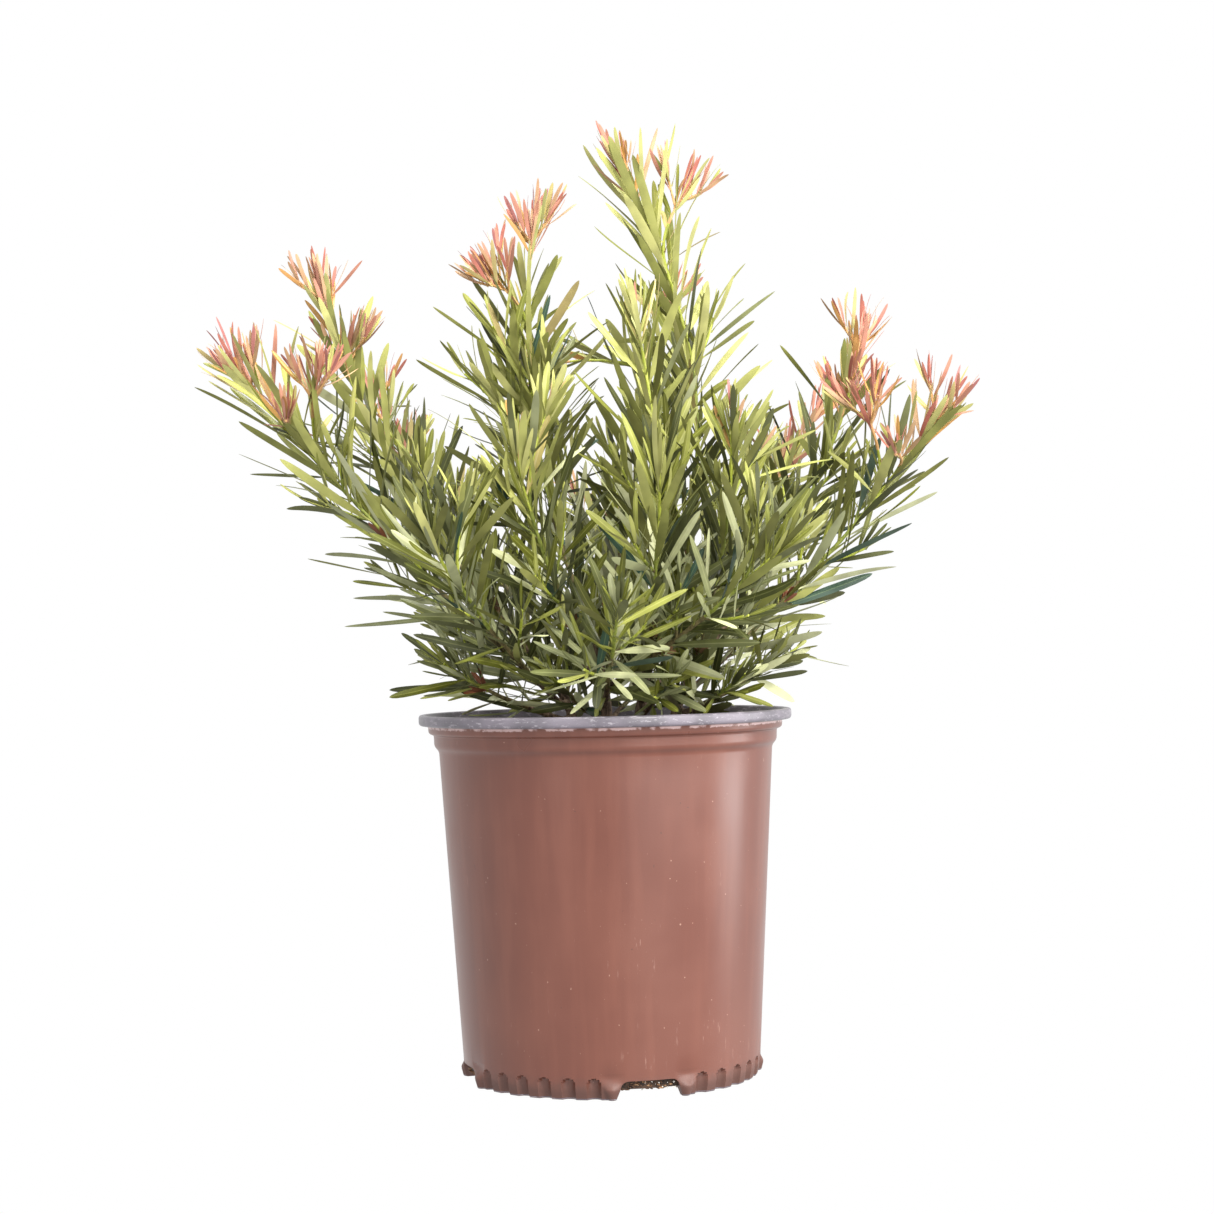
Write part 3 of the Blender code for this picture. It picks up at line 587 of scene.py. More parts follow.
# %% The body of the mix
MIX_COLUMNS = 132
MIX_LUMPS = 2.2 * MM            # how high the lumps of its top are
LUMP_SIZE = 7 * MM
LEVEL_RADIUS = 96 * MM          # lumps rise within this; nearer the wall they only sink
SIDE_CALM = 130 * MM            # a point of its sides moves in by its lump as a share of this
MIX_GAP = 0.3 * MM              # between the mix and the wall
MIDDLE_HOLE = 0.4 * MM          # a spun outline stays just clear of the axis

mix_radius, mix_floor = BODY_RADIUS - WALL - MIX_GAP, FLOOR_RAISE + WALL + MIX_GAP
mix_corners = (
    (MIDDLE_HOLE, MIX_TOP),
    (mix_radius, MIX_TOP),
    (mix_radius, BAND_BOTTOM),
    (floor_radius - MIX_GAP, mix_floor),
    (PAD_RADIUS + FLOOR_RAISE, mix_floor),
    (PAD_RADIUS - 2 * MM, WALL + MIX_GAP),
    (MIDDLE_HOLE, WALL + MIX_GAP),
)
mix_outline = stepped([Vector(c) for c in mix_corners], 3.5 * MM, 2.0 * MM, 12 * MM)
mix_points = []
for radius, height in mix_outline:
    for angle in np.arange(MIX_COLUMNS) * (math.tau / MIX_COLUMNS):
        point = Vector((radius * math.cos(angle), radius * math.sin(angle), height))
        lump = noise.fractal(point / LUMP_SIZE, 1.0, 2.0, 4) * MIX_LUMPS
        if height > MIX_TOP - 1 * MM:
            point.z += lump * 0.9 if radius < LEVEL_RADIUS else -abs(lump) * 0.5
        else:
            point *= 1 - abs(lump) / SIDE_CALM
        mix_points.append(point)
mix_faces = grid_faces(len(mix_outline), MIX_COLUMNS).tolist()
mix = new_piece("mix_body", mix_points, mix_faces, [peat], sharp=60)
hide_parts("potting_mix")
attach(mix, "root")
print("mix body faces:", len(mix.data.polygons))

# %% Chips and perlite
NOTCH_REACH = 11                # degrees that crumbs reach to each side of a notch's middle
NOTCH_BACK = (0.2, 5.0)         # millimetres that they lie behind the foot of the inside
NOTCH_PILE = 7.0                # millimetres that they are piled up
NOTCH_CRUMB = 3.2 * MM          # the largest of them


def crumb(rng, place, size, flat):
    """A small uneven lump: an icosahedron, squashed, jostled and turned at random."""
    shape = bmesh.new()
    bmesh.ops.create_icosphere(shape, subdivisions=1, radius=0.5)
    turn = Matrix.Rotation(rng.uniform(0, math.tau), 4, "Z") @ Matrix.Rotation(rng.gauss(0, 0.5), 4, "X")
    scale = Vector((size * rng.uniform(0.8, 1.5), size * rng.uniform(0.5, 0.8), size * flat))
    points = []
    for vert in shape.verts:
        jostled = Vector([c * s * rng.uniform(0.8, 1.25) for c, s in zip(vert.co, scale)])
        points.append(place + turn.to_3x3() @ jostled)
    faces = [[v.index for v in face.verts] for face in shape.faces]
    shape.free()
    return points, faces


def scatter(name, finish, seed, count, sizes, flat, notch_share):
    """Crumbs over the top of the mix, and a share of them in the drain notches, as one piece."""
    rng = random.Random(seed)
    points, faces = [], []
    for _ in range(count):
        size = rng.uniform(*sizes)
        if rng.random() < notch_share:
            quarter = rng.randrange(NOTCH_COUNT)
            swing = quarter * 360 / NOTCH_COUNT + rng.uniform(-NOTCH_REACH, NOTCH_REACH)
            angle = math.radians(NOTCH_AZIMUTH + swing)
            radius = floor_radius - rng.uniform(*NOTCH_BACK) * MM
            size = min(size, NOTCH_CRUMB)
            height = FLOOR_RAISE + size * 0.35 + rng.uniform(0.0, NOTCH_PILE) * MM
        else:
            angle = rng.uniform(0, math.tau)
            radius = math.sqrt(rng.random()) * (BODY_RADIUS - WALL - sizes[1])
            height = MIX_TOP + rng.uniform(-0.2, 0.9) * MM
        place = Vector((radius * math.cos(angle), radius * math.sin(angle), height))
        crumb_points, crumb_faces = crumb(rng, place, size, flat)
        faces += [[len(points) + i for i in face] for face in crumb_faces]
        points += crumb_points
    made = new_piece(name, points, faces, [finish], sharp=25)
    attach(made, "root")
    print(name, "faces:", len(faces))


# piece: finish, seed, how many, how large, how flat, and the share of them in the drain notches
CRUMBS = {
    "chips_dark": (bark_chip, 5, 900, (3.0 * MM, 9.0 * MM), 0.32, 0.30),
    "chips_pale": (bark_chip_pale, 6, 380, (2.0 * MM, 6.5 * MM), 0.30, 0.36),
    "perlite_grains": (perlite, 7, 340, (1.0 * MM, 2.4 * MM), 0.8, 0.22),
}
for name, settings in CRUMBS.items():
    scatter(name, *settings)

# %% [markdown]
# ## How the plant grows
# Everything above the mix follows one rule, so that no leaf is placed by hand: short woody stems, then
# boughs that leave them at set heights, then one leafy twig on each bough, then side twigs, and leaves
# in a spiral of 137.5 degrees, the angle at which new leaves shade the old ones least. A `Path` carries
# the lines along which all of that is built. The same rule shaped the solids, and here it goes on to
# finer twigs and more and narrower leaves. No twig is quite smooth, so vector noise makes each of them
# wander a little. Blender starts that noise from the clock unless it is given a seed, and then no two
# runs would grow the same plant.

# %% A path in space
def frames(points, first=None):
    """A tangent and two sides at each point of a path, turned as little as possible between them."""
    side = None
    for i, point in enumerate(points):
        tangent = (points[min(i + 1, len(points) - 1)] - points[max(i - 1, 0)]).normalized()
        if i == 0 and first:
            tangent = first.normalized()
        side = tangent.orthogonal() if side is None else side
        side = (side - tangent * side.dot(tangent)).normalized()
        yield point, tangent, side, tangent.cross(side)


class Path:
    """A line of points that can be asked for the place at any share of its length."""

    def __init__(self, points, first=None):
        self.points = points
        self.stations = list(frames(points, first))
        self.reached = [0.0]
        for a, b in zip(points, points[1:]):
            self.reached.append(self.reached[-1] + (b - a).length)
        self.length = self.reached[-1]

    def at(self, share):
        """The point, tangent and two sides at a share of the length."""
        wanted = share * self.length
        i = 0
        while i < len(self.points) - 2 and self.reached[i + 1] < wanted:
            i += 1
        step = self.reached[i + 1] - self.reached[i]
        point = self.points[i].lerp(self.points[i + 1], (wanted - self.reached[i]) / step)
        _, tangent, side, other = self.stations[i]
        return point, tangent, side, other

    def even(self, spacing):
        """Points spaced evenly along the path."""
        count = max(2, round(self.length / spacing))
        return [self.at(i / count)[0] for i in range(count + 1)]


def curve(start, middle, end, spans):
    """Points of a quadratic curve, which passes half as far out as its middle point lies."""
    steps = [i / spans for i in range(spans + 1)]
    return [start * (1 - t) ** 2 + middle * (2 * t * (1 - t)) + end * t ** 2 for t in steps]


def between(pair, share):
    return pair[0] + (pair[1] - pair[0]) * share


def away(side, other, angle):
    """The direction straight out of a path, at an angle round it."""
    return side * math.cos(angle) + other * math.sin(angle)


test_path = Path(curve(Vector((0, 0, 0)), Vector((0, 0, 0.1)), Vector((0.1, 0, 0.1)), 20))
print("a quarter bend, mm:", round(test_path.length / MM, 1))

# %% Stems and shoots, as the solids have them
# name: foot (x, y), top (x, y, z), radius at the foot and at the top, in millimetres
STEMS = {
    "left": ((-18, -4), (-36, -6, 250), 3.3, 2.5),
    "middle": ((0, -19), (-5, -22, 268), 4.0, 3.0),
    "tall": ((21, 5), (36, 7, 272), 3.7, 2.8),
    "right": ((42, -5), (57, -4, 252), 3.5, 2.6),
    "back": ((2, 28), (-3, 40, 258), 3.6, 2.6),
}
# name: stem, height on it (1 is its top), tip (x, y, z), bow (x, y), bare share, how coral its new
# leaves are (0 to 1), and its side crests: where they fork and their tips (x, y, z)
SHOOTS = {
    "left_inner": ("left", 1.00, (-176, 25, 499), (-20, 4), 0.10, 1.0, ((0.74, (-152, 10, 460)),)),
    "left_outer": ("left", 0.74, (-224, -25, 444), (-9, 2), 0.11, 1.0,
                   ((0.60, (-170, -34, 436)), (0.74, (-188, -50, 404)))),
    "front_left": ("left", 0.52, (-100, -130, 334), (-8, -10), 0.15, 0.0, ((0.60, (-76, -112, 352)),)),
    "left_low": ("left", 0.32, (-96, -48, 256), (-8, -4), 0.24, 0.0, ()),
    "centre_left": ("middle", 1.00, (-37, 15, 537), (-18, 3), 0.09, 1.0, ((0.68, (-70, 8, 500)),)),
    "left_front": ("middle", 0.80, (-50, -98, 388), (-6, -18), 0.12, 0.1, ((0.60, (-26, -84, 410)),)),
    "front_right": ("middle", 0.54, (112, -124, 326), (4, -16), 0.22, 0.0, ((0.60, (90, -110, 346)),)),
    "front_low": ("middle", 0.38, (10, -160, 290), (0, -12), 0.18, 0.0, ()),
    "low_middle": ("middle", 0.24, (-34, -82, 250), (-2, -4), 0.20, 0.0, ()),
    "tall": ("tall", 1.00, (12, 0, 568), (36, -2), 0.08, 0.9, ((0.72, (60, 4, 550)),)),
    "centre_front": ("tall", 0.80, (22, -50, 470), (8, -24), 0.11, 0.4, ()),
    "front_middle": ("tall", 0.38, (34, -120, 372), (2, -24), 0.20, 0.0, ()),
    "low_tall": ("tall", 0.24, (42, -78, 248), (2, -4), 0.20, 0.0, ()),
    "back_low_right": ("tall", 0.48, (96, 104, 286), (4, 10), 0.28, 0.0, ()),
    "right_inner": ("right", 1.00, (168, 30, 463), (20, 4), 0.10, 1.0, ((0.72, (148, 16, 422)),)),
    "right_outer": ("right", 0.74, (213, -22, 407), (9, 0), 0.11, 1.0,
                    ((0.60, (160, -34, 408)), (0.74, (178, -48, 376)))),
    "right_front": ("right", 0.52, (78, -86, 402), (8, -16), 0.12, 0.1, ((0.62, (98, -66, 380)),)),
    "right_low": ("right", 0.38, (108, -24, 260), (6, -4), 0.24, 0.0, ()),
    "low_right": ("right", 0.26, (84, -64, 246), (2, -4), 0.20, 0.0, ()),
    "back_high": ("back", 1.00, (50, 80, 500), (2, 10), 0.10, 0.8, ((0.66, (-42, 72, 448)),)),
    "back_left": ("back", 0.78, (-158, 128, 444), (-14, 14), 0.12, 0.9, ((0.62, (-132, 134, 406)),)),
    "back_right": ("back", 0.60, (150, 138, 424), (12, 16), 0.14, 0.9, ((0.62, (126, 112, 392)),)),
    "back_middle": ("back", 0.42, (6, 196, 358), (0, 14), 0.15, 0.5, ((0.60, (-24, 172, 376)),)),
    "back_low_left": ("back", 0.28, (-88, 104, 284), (-6, 10), 0.24, 0.0, ()),
    "low_back": ("back", 0.24, (30, 98, 252), (2, 4), 0.20, 0.0, ()),
}
# leafy side twigs that are too fine for the solids: where they fork and their tips (x, y, z)
FINE_TWIGS = {
    "centre_left": ((0.28, (-82, -14, 434)), (0.34, (-30, -26, 440)), (0.44, (-64, -20, 462))),
}
# how long the coral neck under the tuft is on some shoots, as a share of the rest's
SLOW_NECK = {"tall": 0.4, "left_outer": 0.5, "right_outer": 0.5, "right_inner": 0.7, "left_inner": 0.8}
# how large the leaves of some shoots are, as a share of the rest's: small in the shade low down
VIGOUR = {
    "low_middle": 0.62, "low_tall": 0.62, "front_low": 0.82, "right_low": 0.66, "low_right": 0.66,
    "low_back": 0.72, "back_low_right": 0.72, "back_low_left": 0.85, "front_right": 0.82,
    "right_front": 0.82, "back_right": 0.80, "back_left": 0.88, "back_high": 0.85,
    "left_outer": 1.12, "right_outer": 1.06, "right_inner": 0.92,
}
BOUGH_RADIUS = 2.1 * MM
SHOOT_RADIUS = 1.5 * MM
TIP_RADIUS = 0.8 * MM
SIDE_RADIUS = 1.1 * MM
ELBOW = 3.0 * MM                # how far a bough runs straight out of its stem
STEM_SPANS, PATH_SPANS, SIDE_SPANS = 40, 60, 16
print("stems:", len(STEMS), "shoots:", len(SHOOTS))

# %% The stems' paths
stem_paths = {}
for name, (foot, top, foot_radius, top_radius) in STEMS.items():
    start_point = Vector((foot[0] * MM, foot[1] * MM, MIX_TOP))
    end_point = Vector(top) * MM
    middle_point = Vector((start_point.x, start_point.y, (start_point.z + end_point.z) / 2))
    line = curve(start_point, middle_point, end_point, STEM_SPANS)
    stem_paths[name] = Path(line, Vector((0, 0, 1)))
print("stem lengths, mm:", {n: round(p.length / MM) for n, p in stem_paths.items()})

# %% The shoots' paths
WOBBLE = 1.8 * MM               # how far a twig strays from its smooth curve
WOBBLES = 4.0                   # how often it does, over its length
WOBBLE_SEED = 1795457850        # any whole number but 0, which stands for the clock
SUNK = 2.0                      # millimetres that a bough starts down in its stem's top
SIDE_START = 0.45               # the share of its span over which a side twig follows the main one
noise.seed_set(WOBBLE_SEED)


def wobbled(points, seed):
    """A smooth line made a little uneven, with its ends kept."""
    last = len(points) - 1
    found = []
    for i, point in enumerate(points):
        stray = noise.noise_vector(Vector((seed * 7.3, i / last * WOBBLES, 0.5)))
        found.append(point + stray * WOBBLE * math.sin(math.pi * i / last))
    return found


def main_paths(stem, height, tip, bow, bare):
    """A bough's path from inside its stem, and the leafy twig that goes on from it."""
    path, (_, _, foot_radius, top_radius) = stem_paths[stem], STEMS[stem]
    centre, tangent, _, _ = path.at(min(height, 1.0))
    tip = Vector(tip) * MM
    if height >= 1.0:
        outward, start_point, centre = tangent, centre, centre - tangent * SUNK * MM
    else:
        outward = Vector((tip.x - centre.x, tip.y - centre.y, 0))
        outward = (outward - tangent * outward.dot(tangent)).normalized()
        start_point = centre + outward * between((foot_radius, top_radius), height) * MM
    elbow = start_point + outward * ELBOW
    middle_point = (elbow + tip) / 2 + Vector((*bow, 0)) * (2 * MM)
    line = wobbled(curve(elbow, middle_point, tip, PATH_SPANS), tip.x / MM)
    fork = round(bare * PATH_SPANS)
    return Path([centre, start_point * 0.7 + centre * 0.3, *line[:fork + 1]]), Path(line[fork:])


def side_path(main, share, end):
    """A side twig that leaves the main one at a share of its length and turns up to its own tip."""
    root, tangent, _, _ = main.at(share)
    return Path(curve(root, root + tangent * ((end - root).length * SIDE_START), end, SIDE_SPANS))


shoots = {}
for name, (stem, height, tip, bow, bare, coral, crests) in SHOOTS.items():
    bough, main = main_paths(stem, height, tip, bow, bare)
    sides = [side_path(main, share, Vector(end) * MM) for share, end in crests]
    shoots[name] = {"bough": bough, "main": main, "sides": sides, "coral": coral}
print("leafy twig, mm in all:", round(sum(s["main"].length for s in shoots.values()) / MM))

# %% [markdown]
# Lower down, the real shoots carry short side shoots that are hidden in leaves and make the plant look
# bushy. They leave in turn round the twig and shorten towards its tip, so a short loop with a seed
# places them. One is kept only where its leaves will hang over the mix or above the rim, and inside
# the reach of the solids. Near the tips of the coral shoots, buds do the same for the new growth.

# %% Finer side twigs
SPIRAL = math.radians(137.5)    # the turn from one leaf or side twig to the next
LATERAL_STEP = 21.0 * MM
LATERAL_ZONE = (0.10, 0.60)     # the share of a shoot that carries them
LATERAL_LENGTH = (46.0 * MM, 22.0 * MM)
LATERAL_WAY = (0.80, 0.60, 0.15)        # how far it goes along the twig, away from it and up
LATERAL_BEND = 0.26             # of its length, before it bends that way
LEAF_ROOM = 12 * MM             # what its leaves take up around it
LATERAL_MARGIN = 6 * MM
BOX_MARGIN = 1.0 * MM


def clear_of_pot(points, margin):
    """Whether every point is over the mix, or higher than the lip."""
    radius = np.hypot(points[:, 0], points[:, 1])
    inside = radius < BODY_RADIUS - WALL - margin
    low_inside = inside & (points[:, 2] < MIX_TOP + margin)
    low_outside = ~inside & (points[:, 2] < POT_HEIGHT + margin)
    return not (low_inside | low_outside).any()


def inside_box(points):
    """Whether every point keeps inside the box of the solids."""
    low, high = np.array(cad_low) + BOX_MARGIN, np.array(cad_high) - BOX_MARGIN
    return bool((points >= low).all() and (points <= high).all())


def way_off(tangent, out, shares):
    """A direction that goes along the twig, away from it and up by the given shares."""
    along, outward, up = shares
    return tangent * along + out * outward + Vector((0, 0, up))


for number, (name, shoot) in enumerate(shoots.items()):
    rng = random.Random(300 + number)
    main = shoot["main"]
    laterals = [side_path(main, share, Vector(end) * MM) for share, end in FINE_TWIGS.get(name, ())]
    count = int(main.length * (LATERAL_ZONE[1] - LATERAL_ZONE[0]) / LATERAL_STEP)
    turn_round = rng.uniform(0, math.tau)
    for i in range(count):
        share = between(LATERAL_ZONE, (i + rng.uniform(0.2, 0.8)) / count)
        root, tangent, side, other = main.at(share)
        turn_round += SPIRAL
        out = away(side, other, turn_round)
        reach = between(LATERAL_LENGTH, i / count) * rng.uniform(0.75, 1.15)
        end = root + way_off(tangent, out, LATERAL_WAY) * reach
        path = Path(curve(root, root + (tangent + out) * reach * LATERAL_BEND, end, 10))
        spots = np.array([p + out * LEAF_ROOM for p in path.points])
        if clear_of_pot(spots, LATERAL_MARGIN) and inside_box(spots):
            laterals.append(path)
    shoot["laterals"] = laterals
print("finer side twigs:", sum(len(s["laterals"]) for s in shoots.values()))

# %% Buds that make a crest wide
BUDDING = 0.7                   # a shoot this coral, or more, has buds
BUDS = 2                        # on a side crest; the main tip takes the place of one
BUD_COUNT = {"centre_left": 5, "left_inner": 3, "right_inner": 3, "right_outer": 3, "left_outer": 4}
BUD_BACK = (9, 22)              # millimetres from the tip
BUD_LENGTH = 19.0 * MM
BUD_WAY = (0.75, 0.75, 0.2)
BUD_BEND = 0.3
for number, (name, shoot) in enumerate(shoots.items()):
    rng = random.Random(500 + number)
    shoot["buds"] = []
    crests = (shoot["main"], *shoot["sides"][:1]) if shoot["coral"] >= BUDDING else ()
    for path in crests:
        for i in range(BUD_COUNT.get(name, BUDS) - (1 if path is shoot["main"] else 0)):
            back_from_tip = rng.uniform(*BUD_BACK) * MM
            root, tangent, side, other = path.at(1 - back_from_tip / path.length)
            out = away(side, other, i * SPIRAL + rng.uniform(-0.4, 0.4))
            end = root + way_off(tangent, out, BUD_WAY) * BUD_LENGTH * rng.uniform(0.7, 1.1)
            line = curve(root, root + (tangent + out) * BUD_LENGTH * BUD_BEND, end, 8)
            shoot["buds"].append(Path(line))
print("buds:", sum(len(s["buds"]) for s in shoots.values()))

# %% [markdown]
# ## Bark, twigs and their colours
# Old stems have thin brown bark that splits into long shallow strips. Younger boughs are smoother, and
# twigs of this year are green, then lime, then peach just under the new leaves. Bark is modelled, not
# only bumped, because its edges show against the light: each tube's radius rises and falls with noise
# that is stretched along the stem. A tube with one finish to a stretch of its length lets a twig change
# colour as it grows.

# %% Finishes of stems and twigs
def twig_finish(name, dark, light, roughness):
    """A finish for a stretch of twig, streaked along its length."""
    made, shader, place = new_finish(name)
    streaks = grain(place, 2.0 * MM, 3.0, 0.6, (1, 1, 4))
    connect(shader, "Base Color", blend(above(streaks, 0.35, 0.68), dark, light))
    connect(shader, "Roughness", roughness + 0.15 * streaks)
    relief(shader, streaks, 0.35 * MM)
    return made


bark = twig_finish("bark", srgb(66, 52, 38), srgb(122, 102, 82), 0.78)
old_twig = twig_finish("old_twig", srgb(78, 70, 40), srgb(118, 106, 66), 0.62)
green_twig = twig_finish("green_twig", srgb(104, 114, 40), srgb(136, 144, 60), 0.50)
lime_twig = twig_finish("lime_twig", srgb(146, 156, 46), srgb(170, 176, 76), 0.46)
peach_twig = twig_finish("peach_twig", srgb(182, 138, 84), srgb(196, 156, 106), 0.46)
TWIG_FINISHES = [old_twig, green_twig, lime_twig, peach_twig]
print("twig finishes:", ", ".join(f.name for f in TWIG_FINISHES))

# %% Tubes with relief
class Tubes:
    """Gathers many tubes into the points, faces and finishes of one mesh."""

    def __init__(self):
        self.points, self.faces, self.finishes = [], [], []

    def add(self, path, radius_at, sides, spacing, finish_at=None):
        """A closed tube: radius_at takes a share of the length and an angle, finish_at a share."""
        rows = max(3, round(path.length / spacing))
        base = len(self.points)
        for i in range(rows + 1):
            point, tangent, side, other = path.at(i / rows)
            for k in range(sides):
                angle = math.tau * k / sides
                self.points.append(point + away(side, other, angle) * radius_at(i / rows, angle))
        for i in range(rows):
            finish = finish_at((i + 0.5) / rows) if finish_at else 0
            for k in range(sides):
                j = (k + 1) % sides
                low, high = base + i * sides, base + (i + 1) * sides
                self.faces.append((low + k, low + j, high + j, high + k))
                self.finishes.append(finish)
        self.faces.append(tuple(range(base + sides - 1, base - 1, -1)))
        self.faces.append(tuple(range(base + rows * sides, base + (rows + 1) * sides)))
        self.finishes += [0, self.finishes[-1]]

    def piece(self, name, finishes, sharp=50):
        made = new_piece(name, self.points, self.faces, finishes, self.finishes, sharp)
        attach(made, "root")
        print(name, "faces:", len(self.faces))
        return made


STRIP_LENGTH = 9 * MM
PLATE_FINENESS = 2.7            # how many times smaller than a strip the plates on it are


def barky(seed, depth, cells):
    """The share by which bark stands out at a length along a stem and an angle round it."""
    def share_out(along, angle):
        spot = Vector((math.cos(angle) * cells, math.sin(angle) * cells, along / STRIP_LENGTH + seed))
        strips = abs(noise.noise(spot)) * 2
        plates = noise.noise(spot * PLATE_FINENESS + Vector((4, 1, 8)))
        return 1 - depth * max(0, 0.5 - strips) * 2 + depth * 0.5 * plates
    return share_out


print("bark relief at one spot:", round(barky(1, 0.2, 2.2)(0.03, 1.0), 3))

# %% The stems
ROOT_FLARE = 1.7                # how many times thicker a stem is where it leaves the mix
FLARE_HEIGHT = 9.0 * MM
ROOT_LOBES = 5
LOBE_DEPTH = 0.16               # of the radius
BARK_SHARP = 70                 # degrees
stems = Tubes()
for number, (name, path) in enumerate(stem_paths.items()):
    _, _, foot_radius, top_radius = STEMS[name]
    skin = barky(number * 11.0, 0.17, 2.0)

    def stem_radius(share, angle):
        along = share * path.length
        wave = LOBE_DEPTH * math.cos(ROOT_LOBES * angle + number)
        lobes = 1 + wave * max(0, 1 - along / (2 * FLARE_HEIGHT))
        flare = 1 + (ROOT_FLARE - 1) * max(0, 1 - along / FLARE_HEIGHT) ** 2
        return between((foot_radius, top_radius), share) * MM * flare * lobes * skin(along, angle)

    stems.add(path, stem_radius, 36, 0.7 * MM)
stem_piece = stems.piece("woody_stems", [bark], BARK_SHARP)
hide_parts(*[f"stem_{name}" for name in STEMS])

# %% The boughs
COLLAR = 0.35                   # how much thicker a bough is where it leaves its stem
COLLAR_REACH = 3.5              # the collar ends at 1 over this of its length
boughs = Tubes()
for number, shoot in enumerate(shoots.values()):
    skin = barky(100 + number * 5.0, 0.12, 1.6)
    bough = shoot["bough"]

    def bough_radius(share, angle):
        collar = 1 + COLLAR * max(0, 1 - share * COLLAR_REACH)
        return between((BOUGH_RADIUS, SHOOT_RADIUS), share) * collar * skin(share * bough.length, angle)

    boughs.add(bough, bough_radius, 18, 1.0 * MM)
bough_piece = boughs.piece("woody_boughs", [bark], BARK_SHARP)
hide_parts(*[f"bough_{name}" for name in SHOOTS])

# %% The twigs
CORAL_TWIG = 30 * MM            # how much of a new twig has the tuft's colour
NEW_GROWTH = 0.5                # a shoot more coral than this has it
CUSHION_STEP = 3.7 * MM         # leaf cushions make a twig slightly knobbly
CUSHION_TURN = 2.4              # radians from one to the next
CUSHION = 0.10                  # of the radius
OLD, GREEN, LIME, PEACH = range(4)
OLD_UNTIL, GREEN_UNTIL = 0.30, 0.55     # of a twig's youth, from 0 oldest to 1 youngest
TWIG_ALONG, TWIG_UP = 0.62, 0.38        # what its place on the twig and its height add to that
TWIG_FOOT, TWIG_RISE = 0.235, 0.30      # metres: where its height starts to count, and over how much
# part of a shoot: thickness at its foot and tip, corners, spacing, and how much younger it is
TWIGS = {
    "main": (SHOOT_RADIUS, TIP_RADIUS, 10, 1.6 * MM, 0.0),
    "sides": (SIDE_RADIUS, TIP_RADIUS, 9, 1.6 * MM, 0.25),
    "laterals": (SIDE_RADIUS * 0.9, TIP_RADIUS, 8, 1.8 * MM, 0.15),
    "buds": (TIP_RADIUS, TIP_RADIUS * 0.8, 7, 1.6 * MM, 0.4),
}


def twig_radius(thick, thin, length):
    """A taper with a small swelling under each leaf."""
    def radius_at(share, angle):
        swell = CUSHION * math.sin(angle * 2 + share * length / CUSHION_STEP * CUSHION_TURN)
        return between((thick, thin), share) * (1 + swell)
    return radius_at


def twig_stage(path, coral, younger):
    """Which finish a twig has at a share of its length: older and browner towards its foot."""
    def finish_at(share):
        height = path.at(share)[0].z
        youth = TWIG_ALONG * share + (height - TWIG_FOOT) / TWIG_RISE * TWIG_UP + younger
        left = (1 - share) * path.length
        if coral > NEW_GROWTH and left < CORAL_TWIG * coral:
            return PEACH
        return OLD if youth < OLD_UNTIL else GREEN if youth < GREEN_UNTIL else LIME
    return finish_at


twigs = Tubes()
for shoot in shoots.values():
    for part, (thick, thin, corners, spacing, younger) in TWIGS.items():
        coral = 0.0 if part == "laterals" else shoot["coral"]
        paths = [shoot["main"]] if part == "main" else shoot[part]
        for path in paths:
            taper = twig_radius(thick, thin, path.length)
            twigs.add(path, taper, corners, spacing, twig_stage(path, coral, younger))
twig_piece = twigs.piece("leafy_twigs", TWIG_FINISHES)
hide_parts(*[f"shoot_{name}" for name in SHOOTS])

# %% [markdown]
# ## One leaf
# The leaf is a long strap: narrow at its foot, widest past its middle, with a blunt point and a raised
# pale midrib. It is thin but closed, so it has a real edge. All leaves share one layout of 11 rings of
# seven corners, and numpy bends thousands of them at once. Bend, twist and a sideways sweep are what
# make straps look alive. The midrib and the underside are faces of their own, with their own finishes,
# because a pattern would slide about on meshes this small.

# %% The leaf's layout
STATIONS = np.array([0.0, 0.06, 0.15, 0.27, 0.41, 0.55, 0.69, 0.81, 0.91, 0.97, 1.0])
OUTLINE = np.array([0.18, 0.23, 0.54, 0.82, 0.95, 1.00, 0.98, 0.89, 0.69, 0.41, 0.08])
ACROSS = np.array([-1.0, -0.55, 0.0, 0.0, 0.55, 1.0, 0.0])      # corners of a ring, in half widths
RIB_SIDE = np.array([0.0, 0.0, -1.0, 1.0, 0.0, 0.0, 0.0])       # which corners bound the midrib
RIB_HALF = 0.11                 # of the leaf's half width
CAMBER = 0.10                   # how much lower the edges lie than the middle, in half widths
CAMBER_CURVE = 1.6              # a power: the middle is flat and the edges turn down
RIB_RISE = 0.05                 # of the half width
THICK = 0.10                    # half the thickness at the middle, of the half width
FOOT_THICK = 0.55 * MM          # and at the foot, where the leaf is narrow
UPPER, RIB, UNDER = 0, 1, 2
RING_FINISH = (UPPER, UPPER, RIB, UPPER, UPPER, UNDER, UNDER)
STALK_SPANS = 1


def leaf_faces():
    """Faces of one leaf, and the finish of each."""
    corners, rings = len(ACROSS), len(STATIONS)
    faces, finishes = [], []
    for ring in range(rings - 1):
        for k in range(corners):
            j = (k + 1) % corners
            low, high = ring * corners, (ring + 1) * corners
            faces.append((low + k, low + j, high + j, high + k))
            finishes.append(RIB if ring < STALK_SPANS else RING_FINISH[k])
    faces.append(tuple(range(corners - 1, -1, -1)))
    last = (rings - 1) * corners
    faces.append(tuple(range(last, last + corners)))
    return faces, finishes + [RIB, UPPER]


LEAF_FACES, LEAF_FINISHES = leaf_faces()
print("a leaf has", len(STATIONS) * len(ACROSS), "points and", len(LEAF_FACES), "faces")

# %% Bending many leaves at once
def column(leaves, key):
    return np.array([leaf[key] for leaf in leaves], dtype=float)


def unit(vectors):
    return vectors / np.linalg.norm(vectors, axis=-1, keepdims=True)


